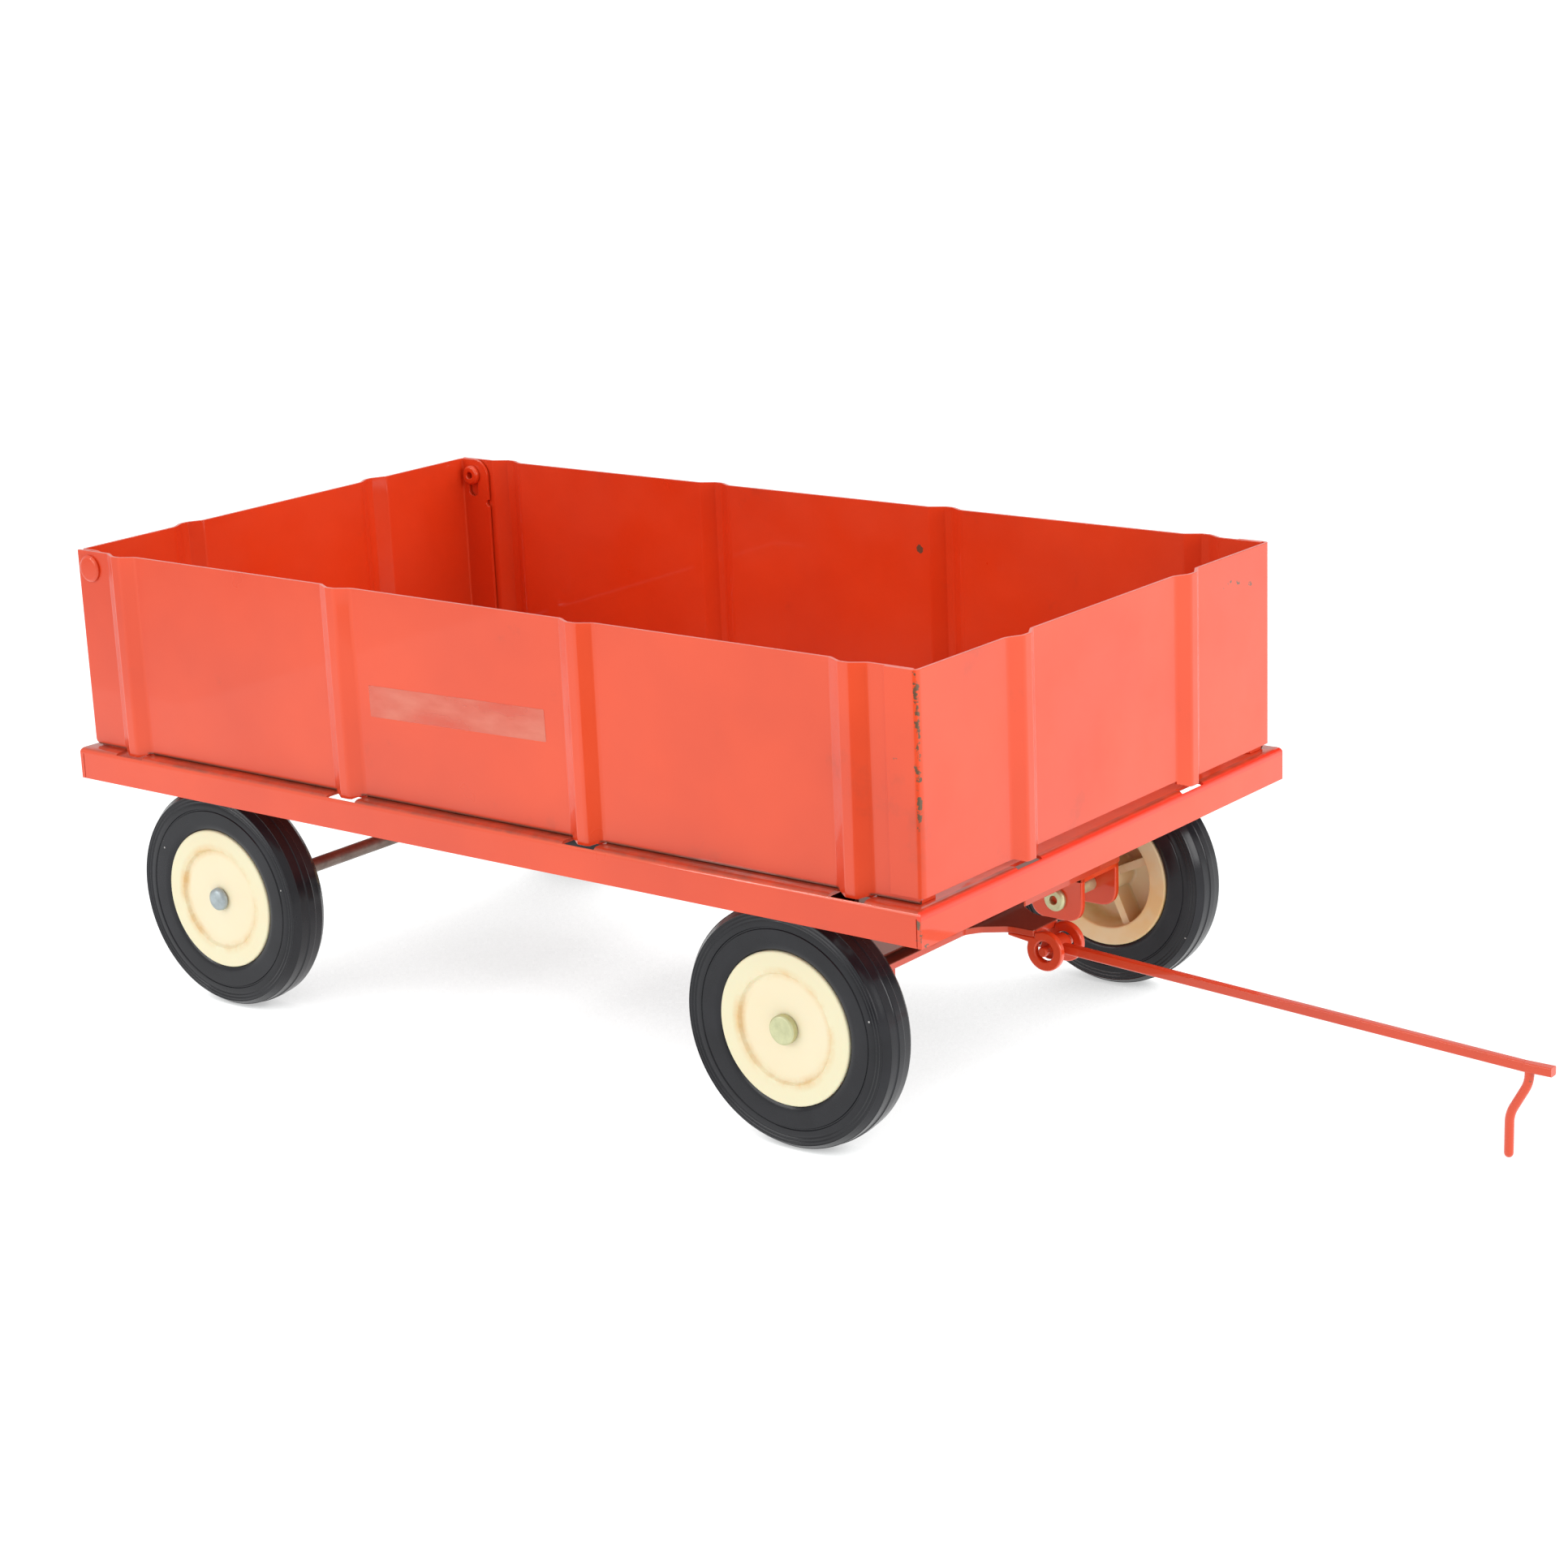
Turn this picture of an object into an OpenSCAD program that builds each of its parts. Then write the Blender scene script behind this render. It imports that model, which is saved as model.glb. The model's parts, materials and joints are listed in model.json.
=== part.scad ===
// Pressed-steel toy barge wagon: a ribbed box on a flanged bed, a swinging tailgate,
// a rear axle in a fixed bracket, and a front axle that steers with a drawbar and hitch pin.
// +X is forward (towards the drawbar), +Y is the wagon's left, +Z is up, z = 0 is the ground.
// The origin is on the ground, in the middle of the whole model's length and width.

/* [Bed] */
// Length of the bed over its skirts
bed_l = 240; // [225:1:260]
// Width of the bed over its skirts
bed_w = 136; // [130:1:150]
// Height of the bed's deck above the ground
deck_z = 57.9; // [57.5:0.1:60]
// Height of the turned-down skirts
skirt_h = 7.4; // [6:0.1:9]
// Thickness of the bed and box sheet
sheet = 0.7; // [0.6:0.1:0.9]
// Outside radius of the bend between deck and skirt
bend_r = 1.3; // [1:0.1:1.6]

/* [Box] */
// Height of the walls' top edge above the ground
wall_top = 104; // [85:1:130]
// Distance from the side skirts in to the box's corners
side_inset = 2.9; // [2.6:0.1:5]
// Distance from the front skirt in to the front wall
front_inset = 1.5; // [1.5:0.1:4]
// Distance from the rear skirt in to the walls' rear edges
rear_inset = 1.9; // [1.9:0.1:5]
// Spacing of the four ribs on each side wall
side_rib_pitch = 68.5; // [60:0.5:70]
// Spacing of the two ribs on the front wall and tailgate
end_rib_pitch = 61.5; // [40:0.5:80]
// Width of a rib where it leaves the wall
rib_base = 9.2; // [8:0.2:12]
// Width of a rib's flat crest
rib_crest = 2.4; // [2:0.2:5]
// How far a rib stands out from its wall
rib_depth = 1.9; // [1.5:0.1:1.9]
// How far the front wall's ends wrap back over the side walls
wrap = 7.6; // [5:0.2:9]

/* [Tailgate] */
// Distance of the hinge rivets ahead of the walls' rear edges
hinge_in = 4; // [3.8:0.1:6]
// Distance of the hinge rivets below the walls' top edge
hinge_down = 4; // [3.8:0.1:6]
// Depth of the tailgate's side flanges
gate_flange = 9; // [8.5:0.5:14]
// How far the slots would let the gate be lifted
gate_lift = 4; // [2:0.5:5]

/* [Wheels] */
// Diameter over the tyre's tread
wheel_d = 51.5; // [48:0.5:52]
// Width of the tyre and of the rim
wheel_w = 9.5; // [8:0.5:10]
// Diameter of the rim's lips
rim_d = 32.4; // [28:0.2:34]
// Distance between the front and rear axles
wheel_base = 164; // [150:1:166]
// Distance between the outer faces of a pair of wheels
track_out = 126.8; // [122:0.2:127]
// Diameter of the axle rod and of the stub axles
axle_d = 3.4; // [3:0.1:3.8]

/* [Front axle] */
// Height of the beam's top face above the ground
beam_z = 33.2; // [32.4:0.2:33.6]
// Thickness of the beam, its brackets and the rear bracket
plate = 1.5; // [1.2:0.1:1.6]
// Width of the beam, front to back
beam_w = 15.2; // [14:0.2:18]
// Distance of the drawbar hinge ahead of the front axle
hinge_ahead = 22.9; // [22:0.1:26]
// Height of the drawbar hinge above the ground
tow_hinge_z = 28.9; // [28.5:0.1:29.2]

/* [Drawbar] */
// Distance from the drawbar hinge to the hitch pin's top
draw_reach = 107.2; // [90:0.2:120]
// Drop of the drawbar from the hinge to its level tip
draw_drop = 5.4; // [4:0.2:6.4]
// Length of the level tip beyond the hitch pin
tip_l = 4.9; // [4:0.1:8]
// Height of the drawbar's section
bar_h = 2.1; // [1.8:0.1:2.4]
// Width of the drawbar's section
bar_w = 1.7; // [1.4:0.1:2.2]
// Diameter of the hitch pin
pin_d = 1.9; // [1.6:0.1:2]
// Straight working length at the hitch pin's lower end
pin_straight = 6; // [5:0.5:6.5]

/* [Hidden] */
$fn = 64;
eps = 0.01;

// Side names: the wagon's right side is -Y and its left side is +Y.
right = -1;
left = 1;

// Main stations, measured from the middle of the bed
nose_x = bed_l / 2;
axle_x = wheel_base / 2;
tow_x = axle_x + hinge_ahead;
tip_x = tow_x + draw_reach + tip_l;
// Middle of the bed in the part's own frame
bed_cx = (bed_l / 2 - tip_x) / 2;
axle_z = wheel_d / 2;
under_deck = deck_z - sheet;

// Box
box_y = bed_w / 2 - side_inset;
side_y = box_y - sheet;
front_x = nose_x - front_inset;
rear_x = -bed_l / 2 + rear_inset;
corner_r = 1.3;
foot_z = deck_z - 0.6;
wall_gap = 0.3;
front_gap = 1.4;
middle_rise = 0.7;
foot_gap = 0.5;
wall_z = deck_z + wall_gap;
front_z = deck_z + front_gap;
flange_w = 5;
notch_play = 0.1;
lower_corner_r = 1.4;
side_rib_x = [for (i = [-1.5, -0.5, 0.5, 1.5]) i * side_rib_pitch - 0.6];
end_rib_y = [-end_rib_pitch / 2, end_rib_pitch / 2];
foot_w = (rib_base + rib_crest) / 2;
notch_w = foot_w + 2.8;
lip_drop = 0.5;
lip_w = sheet + 0.1;
floor_margin = 8.5;
floor_rise = 0.7;
seam_w = 0.35;

// Tailgate
hinge_x = rear_x + hinge_in;
hinge_z = wall_top - hinge_down;
gate_clear = 0.3;
gate_y = side_y - sheet - gate_clear;
gate_lip = 1.7;
rivet_r = 1.5;
slot_clear = 0.08;
rivet_head_r = 3.1;
rivet_head_t = 0.8;
clinch_r = 2.45;
clinch_t = 1.2;
clinch_bore_r = 1;

// Wheels
rim_r = rim_d / 2;
seat_r = rim_r - 1.4;
lip_t = 1.2;
wheel_y = track_out / 2 - wheel_w / 2;
axle_r = axle_d / 2;
bore_r = axle_r + 0.08;
boss_r = 3.7;
boss_out = 3;
pocket_r = rim_r - 4.2;
web_t = 1.6;
face_step_r = rim_r * 0.71;
face_step = 0.8;
spoke_w = 1.8;
spoke_drop = 1.6;
tread_w = 6.2;
shoulder = 0.55;
bead_side = 0.5;
head_gap = 0.15;

// Front axle
bolster_z = beam_z + 0.8;
bolster_t = 1;
bolster_l = 12.6;
bolster_w = 91;
bolster_flange = 6;
kingpin_r = 2.4;
kingpin_head_r = 4.5;
kingpin_head_t = 1.1;
washer_gap = 0.02;
ear_inner = 34.6;
ear_outer = 49.9;
ear_w = 13.6;
ear_drop = 4.8;
ear_r = 4.4;
stub_head_r = 3.1;
stub_head_t = 0.8;
stub_clinch_r = 2.7;
stub_clinch_t = 1.2;
fork_y = 4.6;
fork_r = 4.3;
fork_hole_r = 2.2;
fork_end = hinge_ahead - 2.4;
fork_neck = 2.8;

// Rear axle
hanger_y = ear_outer - plate;
hanger_w = 13;
rear_head_r = 2.6;
rear_head_t = 0.9;

// Drawbar
draw_pitch = atan(draw_drop / draw_reach);
cross_r = 1.05;
heel = 3;
stop_z = beam_z - plate - tow_hinge_z - 0.05;
pin_r = pin_d / 2;
pin_tip_z = 4.2;
pin_top_z = tow_hinge_z - draw_drop;
curve_top_z = pin_top_z - 2;
curve_low_z = pin_tip_z + pin_straight + pin_r;
curve_drop = curve_top_z - curve_low_z;
curve_back = 3.9;
curve_r = 5;
curve_span = norm([2 * curve_r - curve_back, curve_drop]);
curve_a = asin(2 * curve_r / curve_span) - atan2(2 * curve_r - curve_back, curve_drop);
slant_l = sqrt(pow(curve_span, 2) - pow(2 * curve_r, 2));

// Label
label_l = 50.5;
label_h = 6.9;
label_t = 0.08;
label_x = -1.6;
label_z = 80.3;
label_tilt = 1.2;

red = "#f4523a";
dark_red = "#b8321f";
cream = "#f6ecd2";
black = "#2c2c2e";
zinc = "#b9bcae";
steel = "#8c8683";

// ---- helpers -------------------------------------------------------------

function reversed(list) = [for (i = [len(list) - 1 : -1 : 0]) list[i]];

// Points of one outward rib at position c along a wall whose line is v = 0
function rib_points(c) = [
    [c - rib_base / 2, 0],
    [c - rib_crest / 2, -rib_depth],
    [c + rib_crest / 2, -rib_depth],
    [c + rib_base / 2, 0]
];

// The part of a rib that runs down into a notch: its crest and the outer half of each flank
function foot_points(c) = [
    [c - foot_w / 2, -rib_depth / 2],
    [c - rib_crest / 2, -rib_depth],
    [c + rib_crest / 2, -rib_depth],
    [c + foot_w / 2, -rib_depth / 2]
];

// Wall line from u0 to u1 with its ribs
function wall_line(u0, u1, ribs) = concat(
    [[u0, 0]],
    [for (c = ribs) each rib_points(c)],
    [[u1, 0]]
);

function arc_points(cx, cy, r, a0, a1, n) = [
    for (i = [0 : n]) [cx + r * cos(a0 + (a1 - a0) * i / n), cy + r * sin(a0 + (a1 - a0) * i / n)]
];

// A line of points given one sheet of thickness towards +v
module sheet_along(points) {
    polygon(concat(points, reversed([for (p = points) [p[0], p[1] + sheet]])));
}

// A flat outline drawn in X and Z, standing from y0 to y0 + t
module upright(y0, t) {
    translate([0, y0 + t, 0]) rotate([90, 0, 0]) linear_extrude(t) children();
}

// A cylinder along Y from y0 to y1
module y_rod(r, y0, y1) {
    translate([0, y0, 0]) rotate([-90, 0, 0]) cylinder(r = r, h = y1 - y0);
}

// A cuboid between two corners
module block(low, high) {
    translate(low) cube(high - low);
}

// A flat outline of the given width and height with its two upper corners rounded
module bent_outline(w, h, r) {
    translate([-w / 2, 0]) square([w, h - r]);
    translate([-w / 2 + r, 0]) square([w - 2 * r, h]);
    for (s = [-1, 1]) translate([s * (w / 2 - r), h - r]) circle(r = r);
}

// A slab with a round bend along its four top edges, mitred at the corners, standing on z0
module bent_slab(l, w, z0, z1, r) {
    translate([0, 0, z0]) intersection() {
        upright(-w, 2 * w) bent_outline(l, z1 - z0, r);
        rotate([0, 0, 90]) upright(-l, 2 * l) bent_outline(w, z1 - z0, r);
    }
}

// ---- bed and box ---------------------------------------------------------

// A notch in an edge of the bed that faces +Y: it lowers the lip, and goes right through the deck behind it
module rib_notch(depth, drop) {
    translate([-notch_w / 2, -depth, -drop]) cube([notch_w, depth + 1, drop + 1]);
    if (depth > 2 * lip_w) translate([-notch_w / 2, -depth, -2 * sheet])
        cube([notch_w, depth - lip_w, 2 * sheet + 1]);
}

module rib_notches() {
    for (s = [0, 1], x = side_rib_x)
        mirror([0, s, 0]) translate([x, bed_w / 2, deck_z]) rib_notch(side_inset + sheet, lip_drop);
    for (y = end_rib_y) {
        translate([nose_x, y, deck_z]) rotate([0, 0, -90])
            rib_notch(front_inset + sheet + notch_play, lip_drop);
        translate([-nose_x, y, deck_z]) rotate([0, 0, 90])
            rib_notch(rear_inset + sheet - rib_depth + notch_play, deck_z - foot_z + 0.3);
    }
}

module corner_seams() {
    low = deck_z - skirt_h;
    for (s = [-1, 1], t = [-1, 1]) {
        translate([s * nose_x, t * (bed_w / 2 - 2 * sheet), low + skirt_h / 2 - bend_r / 2 - 1])
            cube([sheet, seam_w, skirt_h - bend_r + 1], center = true);
    }
}

module bed() color(red) translate([bed_cx, 0, 0]) difference() {
    low = deck_z - skirt_h;
    field = [bed_l / 2 - floor_margin, bed_w / 2 - floor_margin - sheet];
    union() {
        difference() {
            bent_slab(bed_l, bed_w, low, deck_z, bend_r);
            bent_slab(bed_l - 2 * sheet, bed_w - 2 * sheet, low - 1, under_deck, bend_r - sheet);
        }
        block([-field[0], -field[1], under_deck], [field[0], field[1], deck_z + floor_rise]);
    }
    block([-field[0] + sheet, -field[1] + sheet, under_deck - 1],
          [field[0] - sheet, field[1] - sheet, under_deck + floor_rise]);
    rib_notches();
    corner_seams();
}

// Side wall on the right; the left one is its mirror image
module side_wall_shape() {
    u0 = rear_x;
    u1 = front_x - corner_r - 0.1;
    line = wall_line(u0, u1, side_rib_x);
    edges = concat([u0], [for (c = side_rib_x) each [c - rib_base / 2, c + rib_base / 2]], [u1]);
    difference() {
        union() {
            translate([0, -side_y, wall_z]) linear_extrude(wall_top - wall_z) sheet_along(line);
            for (c = side_rib_x) {
                translate([0, -side_y, foot_z]) linear_extrude(wall_z - foot_z + eps)
                    sheet_along(foot_points(c));
            }
            for (i = [0 : 2 : len(edges) - 1]) {
                block([edges[i] + (i == 0 ? gate_flange + 1 : 0), -side_y, deck_z],
                      [edges[i + 1], -side_y + flange_w, deck_z + sheet]);
            }
        }
        translate([u0, -side_y, wall_z]) upright(-rib_depth, 3 * sheet + rib_depth) difference() {
            translate([-1, -1]) square([lower_corner_r + 1, lower_corner_r + 1]);
            translate([lower_corner_r, lower_corner_r]) circle(r = lower_corner_r);
        }
        translate([hinge_x, 0, hinge_z]) y_rod(rivet_r, -side_y - 1, -side_y + sheet + 1);
    }
}

module side_wall_right() color(red) translate([bed_cx, 0, 0]) side_wall_shape();

module side_wall_left() color(red) translate([bed_cx, 0, 0]) mirror([0, 1, 0]) side_wall_shape();

// Front wall: a ribbed panel whose ends wrap round the corners on to the side walls
module front_wall() color(red) translate([bed_cx, 0, 0]) {
    corner_x = front_x - corner_r;
    corner_y = box_y - corner_r;
    inner_r = corner_r - sheet;
    ribs = [for (c = end_rib_y) each [for (p = rib_points(c)) [front_x - p[1], p[0]]]];
    outer = concat(
        [[front_x - wrap, -box_y]], arc_points(corner_x, -corner_y, corner_r, -90, 0, 6), ribs,
        arc_points(corner_x, corner_y, corner_r, 0, 90, 6), [[front_x - wrap, box_y]]
    );
    inner = concat(
        [[front_x - wrap, -box_y + sheet]], arc_points(corner_x, -corner_y, inner_r, -90, 0, 6),
        [for (p = ribs) [p[0] - sheet, p[1]]],
        arc_points(corner_x, corner_y, inner_r, 0, 90, 6), [[front_x - wrap, box_y - sheet]]
    );
    difference() {
        translate([0, 0, front_z]) linear_extrude(wall_top - front_z) polygon(concat(outer, reversed(inner)));
        block([front_x - 2 * sheet, end_rib_y[0] + rib_base / 2, front_z - 1],
              [front_x + 1, end_rib_y[1] - rib_base / 2, front_z + middle_rise]);
    }
    for (c = end_rib_y) {
        foot = [for (p = foot_points(c)) [front_x - p[1], p[0]]];
        translate([0, 0, deck_z + foot_gap]) linear_extrude(front_z - deck_z - foot_gap + eps)
            polygon(concat(foot, reversed([for (p = foot) [p[0] - sheet, p[1]]])));
    }
}

// Outline of a tailgate flange in X and Z: rounded top corner, hinge slot and a small nick
module gate_flange_outline() {
    front = rear_x + gate_flange;
    top_r = 4.2;
    nick_z = hinge_z - 7;
    low = deck_z + gate_lip;
    difference() {
        union() {
            translate([rear_x, low]) square([gate_flange, wall_top - top_r - low]);
            translate([rear_x, low]) square([gate_flange - top_r, wall_top - low]);
            translate([front - top_r, wall_top - top_r]) circle(r = top_r);
        }
        translate([hinge_x, hinge_z]) circle(r = rivet_r + slot_clear);
        translate([hinge_x - rivet_r - slot_clear, hinge_z - gate_lift])
            square([2 * (rivet_r + slot_clear), gate_lift]);
        translate([hinge_x, hinge_z - gate_lift]) circle(r = rivet_r + slot_clear);
        translate([front, nick_z]) circle(r = 0.8);
    }
}

module tailgate() color(red) translate([bed_cx, 0, 0]) {
    ribs = [for (c = end_rib_y) each [for (p = rib_points(c)) [rear_x + p[1], p[0]]]];
    outer = concat([[rear_x, -gate_y]], ribs, [[rear_x, gate_y]]);
    translate([0, 0, wall_z]) linear_extrude(wall_top - wall_z)
        polygon(concat(outer, reversed([for (p = outer) [p[0] + sheet, p[1]]])));
    for (c = end_rib_y) {
        foot = [for (p = rib_points(c)) if (p[1] < 0) [rear_x + p[1], p[0]]];
        translate([0, 0, foot_z]) linear_extrude(wall_z - foot_z + eps)
            polygon(concat(foot, reversed([for (p = foot) [p[0] + sheet, p[1]]])));
    }
    upright(-gate_y, sheet) gate_flange_outline();
    upright(gate_y - sheet, sheet) gate_flange_outline();
}

// Two hollow rivets: flat head outside, plain shank, clinched ring inside
module tailgate_rivets() color(red) translate([bed_cx, 0, 0]) {
    inside = gate_y - sheet - 0.15;
    for (s = [0, 1]) mirror([0, s, 0]) translate([hinge_x, 0, hinge_z]) difference() {
        union() {
            y_rod(rivet_head_r, side_y, side_y + rivet_head_t);
            y_rod(rivet_r, inside - eps, side_y + eps);
            y_rod(clinch_r, inside - clinch_t, inside);
        }
        y_rod(clinch_bore_r, inside - clinch_t - 1, inside + 1);
    }
}

module label_plate() color("#f58a72") translate([bed_cx + label_x, -side_y - label_t, label_z])
    rotate([0, -label_tilt, 0]) translate([-label_l / 2, 0, -label_h / 2]) cube([label_l, label_t, label_h]);

module label_right() label_plate();

module label_left() mirror([0, 1, 0]) label_plate();

// ---- front axle ----------------------------------------------------------

// Hat-section bolster under the deck; the kingpin is riveted into its flat bottom
module front_bolster() color(dark_red) translate([bed_cx + axle_x, -bolster_w / 2, 0]) difference() {
    half = bolster_l / 2;
    top = under_deck;
    t = bolster_t;
    upright(0, bolster_w) polygon([
        [-half - bolster_flange, top - t], [-half, top - t], [-half, bolster_z],
        [half, bolster_z], [half, top - t], [half + bolster_flange, top - t],
        [half + bolster_flange, top], [half - t, top], [half - t, bolster_z + t],
        [-half + t, bolster_z + t], [-half + t, top], [-half - bolster_flange, top]
    ]);
    translate([0, bolster_w / 2, bolster_z - 1]) cylinder(r = kingpin_r, h = t + 2);
}

module kingpin() color(zinc) translate([bed_cx + axle_x, 0, 0]) {
    low = beam_z - plate - 0.2;
    high = bolster_z + bolster_t;
    translate([0, 0, low - eps]) cylinder(r = kingpin_r, h = high - low + 2 * eps);
    translate([0, 0, low - kingpin_head_t]) cylinder(r = kingpin_head_r, h = kingpin_head_t);
    translate([0, 0, high]) cylinder(r = kingpin_head_r, h = kingpin_head_t);
}

module kingpin_washer() color(steel) translate([bed_cx + axle_x, 0, beam_z + washer_gap]) difference() {
    cylinder(r = 6, h = bolster_z - beam_z - washer_gap);
    translate([0, 0, -1]) cylinder(r = kingpin_r + 0.2, h = 3);
}

// Outline of a tongue ear in X and Z, about the front axle's centre line
module fork_outline() {
    top = beam_z - axle_z;
    hole_z = tow_hinge_z - axle_z;
    difference() {
        union() {
            translate([hinge_ahead, hole_z]) circle(r = fork_r);
            translate([hinge_ahead - 9, top - fork_neck]) square([fork_end - hinge_ahead + 9, fork_neck]);
        }
        translate([hinge_ahead, hole_z]) circle(r = fork_hole_r);
    }
}

// Flat axle beam with its tongue, which narrows to a fork for the drawbar
module front_beam() color(dark_red) translate([bed_cx + axle_x, 0, 0]) {
    half = beam_w / 2;
    translate([0, 0, beam_z - plate]) linear_extrude(plate) difference() {
        union() {
            translate([-half, -ear_outer]) square([beam_w, 2 * ear_outer]);
            polygon([
                [half - eps, -11], [half + 2, -8], [half + 7, -fork_y], [fork_end, -fork_y],
                [fork_end, fork_y], [half + 7, fork_y], [half + 2, 8], [half - eps, 11]
            ]);
        }
        circle(r = kingpin_r + 0.08);
    }
    translate([0, 0, axle_z]) {
        upright(-fork_y, plate) fork_outline();
        upright(fork_y - plate, plate) fork_outline();
    }
}

// Outline of a bracket leg in X and Z, about the axle, up to height top
module leg_outline(w, top, r, hole_r) {
    difference() {
        union() {
            translate([-w / 2, -ear_drop + r]) square([w, top + ear_drop - r]);
            translate([-w / 2 + r, -ear_drop]) square([w - 2 * r, r]);
            for (s = [-1, 1]) translate([s * (w / 2 - r), -ear_drop + r]) circle(r = r);
        }
        circle(r = hole_r);
    }
}

// Channel under each end of the beam; its two legs carry the stub axle
module axle_bracket(side) color(red) translate([bed_cx + axle_x, 0, axle_z]) {
    top = beam_z - plate - axle_z;
    mirror([0, side == right ? 1 : 0, 0]) {
        upright(ear_inner, plate) leg_outline(ear_w, top, ear_r, axle_r);
        upright(ear_outer - plate, plate) leg_outline(ear_w, top, ear_r, axle_r);
        block([-ear_w / 2, ear_inner, top - plate], [ear_w / 2, ear_outer, top]);
    }
}

module axle_bracket_right() axle_bracket(right);

module axle_bracket_left() axle_bracket(left);

// Stub axle: flat head outside the wheel, clinched hollow end inside the bracket
module stub_axle(side) color(zinc) translate([bed_cx + axle_x, 0, axle_z]) {
    out = track_out / 2 + head_gap - face_step;
    mirror([0, side == right ? 1 : 0, 0]) difference() {
        union() {
            y_rod(axle_r, ear_inner - eps, out + eps);
            y_rod(stub_head_r, out, out + stub_head_t + face_step);
            y_rod(stub_clinch_r, ear_inner - stub_clinch_t, ear_inner);
        }
        y_rod(clinch_bore_r, ear_inner - stub_clinch_t - 1, ear_inner + 2);
    }
}

module stub_axle_right() stub_axle(right);

module stub_axle_left() stub_axle(left);

// ---- rear axle -----------------------------------------------------------

// Inverted channel under the deck; its two long legs carry the rear axle
module rear_bracket() color(dark_red) translate([bed_cx - axle_x, 0, axle_z]) {
    top = under_deck - axle_z;
    for (y = [-hanger_y - plate, hanger_y]) {
        upright(y, plate) leg_outline(hanger_w, top, ear_r, axle_r + 0.08);
    }
    block([-hanger_w / 2, -hanger_y - plate, top - plate], [hanger_w / 2, hanger_y + plate, top]);
}

module rear_axle() color(steel) translate([bed_cx - axle_x, 0, axle_z]) {
    out = track_out / 2 + head_gap - face_step;
    y_rod(axle_r, -out - eps, out + eps);
    for (s = [0, 1]) mirror([0, s, 0]) y_rod(rear_head_r, out, out + rear_head_t + face_step);
}

// ---- wheels --------------------------------------------------------------

// Places a wheel part, whose own +Z points out of the wheel's face, at one corner
module at_wheel(end, side) {
    translate([bed_cx + end * axle_x, side * wheel_y, axle_z]) rotate([-side * 90, 0, 0]) children();
}

// Moulded rim: two lips round the tyre seat, a stepped face, and a boss with four spokes behind it
module rim(end, side) color(cream) at_wheel(end, side) {
    h = wheel_w / 2;
    rotate_extrude() polygon([
        [bore_r, -h - boss_out], [boss_r, -h - boss_out], [boss_r, h - web_t - face_step],
        [pocket_r, h - web_t - face_step], [pocket_r, -h], [rim_r, -h], [rim_r, -h + lip_t],
        [seat_r, -h + lip_t], [seat_r, h - lip_t], [rim_r, h - lip_t], [rim_r, h],
        [face_step_r, h], [face_step_r, h - face_step], [bore_r, h - face_step]
    ]);
    for (a = [0 : 90 : 270]) rotate([0, 0, a]) {
        block([boss_r - 0.3, -spoke_w / 2, -h + spoke_drop],
              [pocket_r + 0.3, spoke_w / 2, h - web_t - face_step + 0.2]);
    }
}

// Tyre: beads round the rim, rounded shoulders and a slightly raised band round the tread
module tyre(end, side) color(black) at_wheel(end, side) {
    h = wheel_w / 2;
    r = wheel_d / 2;
    grip = rim_r + 0.15;
    half_tread = tread_w / 2;
    rotate_extrude() polygon([
        [seat_r, -h + lip_t], [grip, -h + lip_t], [grip, -h + bead_side], [grip + 1.5, -h], [r - 4, -h],
        [r - 1.9, -h + 0.3], [r - shoulder - 0.25, -h + 1], [r - shoulder + 0.1, -half_tread],
        [r - shoulder + 0.3, -1.2], [r, -0.9], [r, 0.9], [r - shoulder + 0.3, 1.2],
        [r - shoulder + 0.1, half_tread], [r - shoulder - 0.25, h - 1],
        [r - 1.9, h - 0.3], [r - 4, h], [grip + 1.5, h], [grip, h - bead_side],
        [grip, h - lip_t], [seat_r, h - lip_t]
    ]);
}

module rim_front_right() rim(1, right);

module rim_front_left() rim(1, left);

module rim_rear_right() rim(-1, right);

module rim_rear_left() rim(-1, left);

module tyre_front_right() tyre(1, right);

module tyre_front_left() tyre(1, left);

module tyre_rear_right() tyre(-1, right);

module tyre_rear_left() tyre(-1, left);

// ---- drawbar -------------------------------------------------------------

// Flat bar with a cross pin in the tongue's fork, a heel that stops it level, and a level tip
module drawbar() color(red) translate([bed_cx + tow_x, 0, tow_hinge_z]) {
    slope = draw_reach / cos(draw_pitch);
    difference() {
        union() {
            rotate([0, draw_pitch, 0])
                block([-heel, -bar_w / 2, -bar_h / 2], [slope, bar_w / 2, bar_h / 2]);
            block([draw_reach - 0.1, -bar_w / 2 - 0.25, -draw_drop - bar_h / 2],
                  [draw_reach + tip_l, bar_w / 2 + 0.25, -draw_drop + bar_h / 2]);
            y_rod(2.2, -fork_y + plate + 0.3, fork_y - plate - 0.3);
            block([-heel - bar_h, -bar_w / 2, 0], [-heel + eps, bar_w / 2, stop_z]);
        }
        translate([draw_reach, 0, -draw_drop - bar_h]) cylinder(r = 0.6, h = 2 * bar_h);
    }
    y_rod(cross_r, -fork_y - 0.6, fork_y + 0.6);
}

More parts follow.
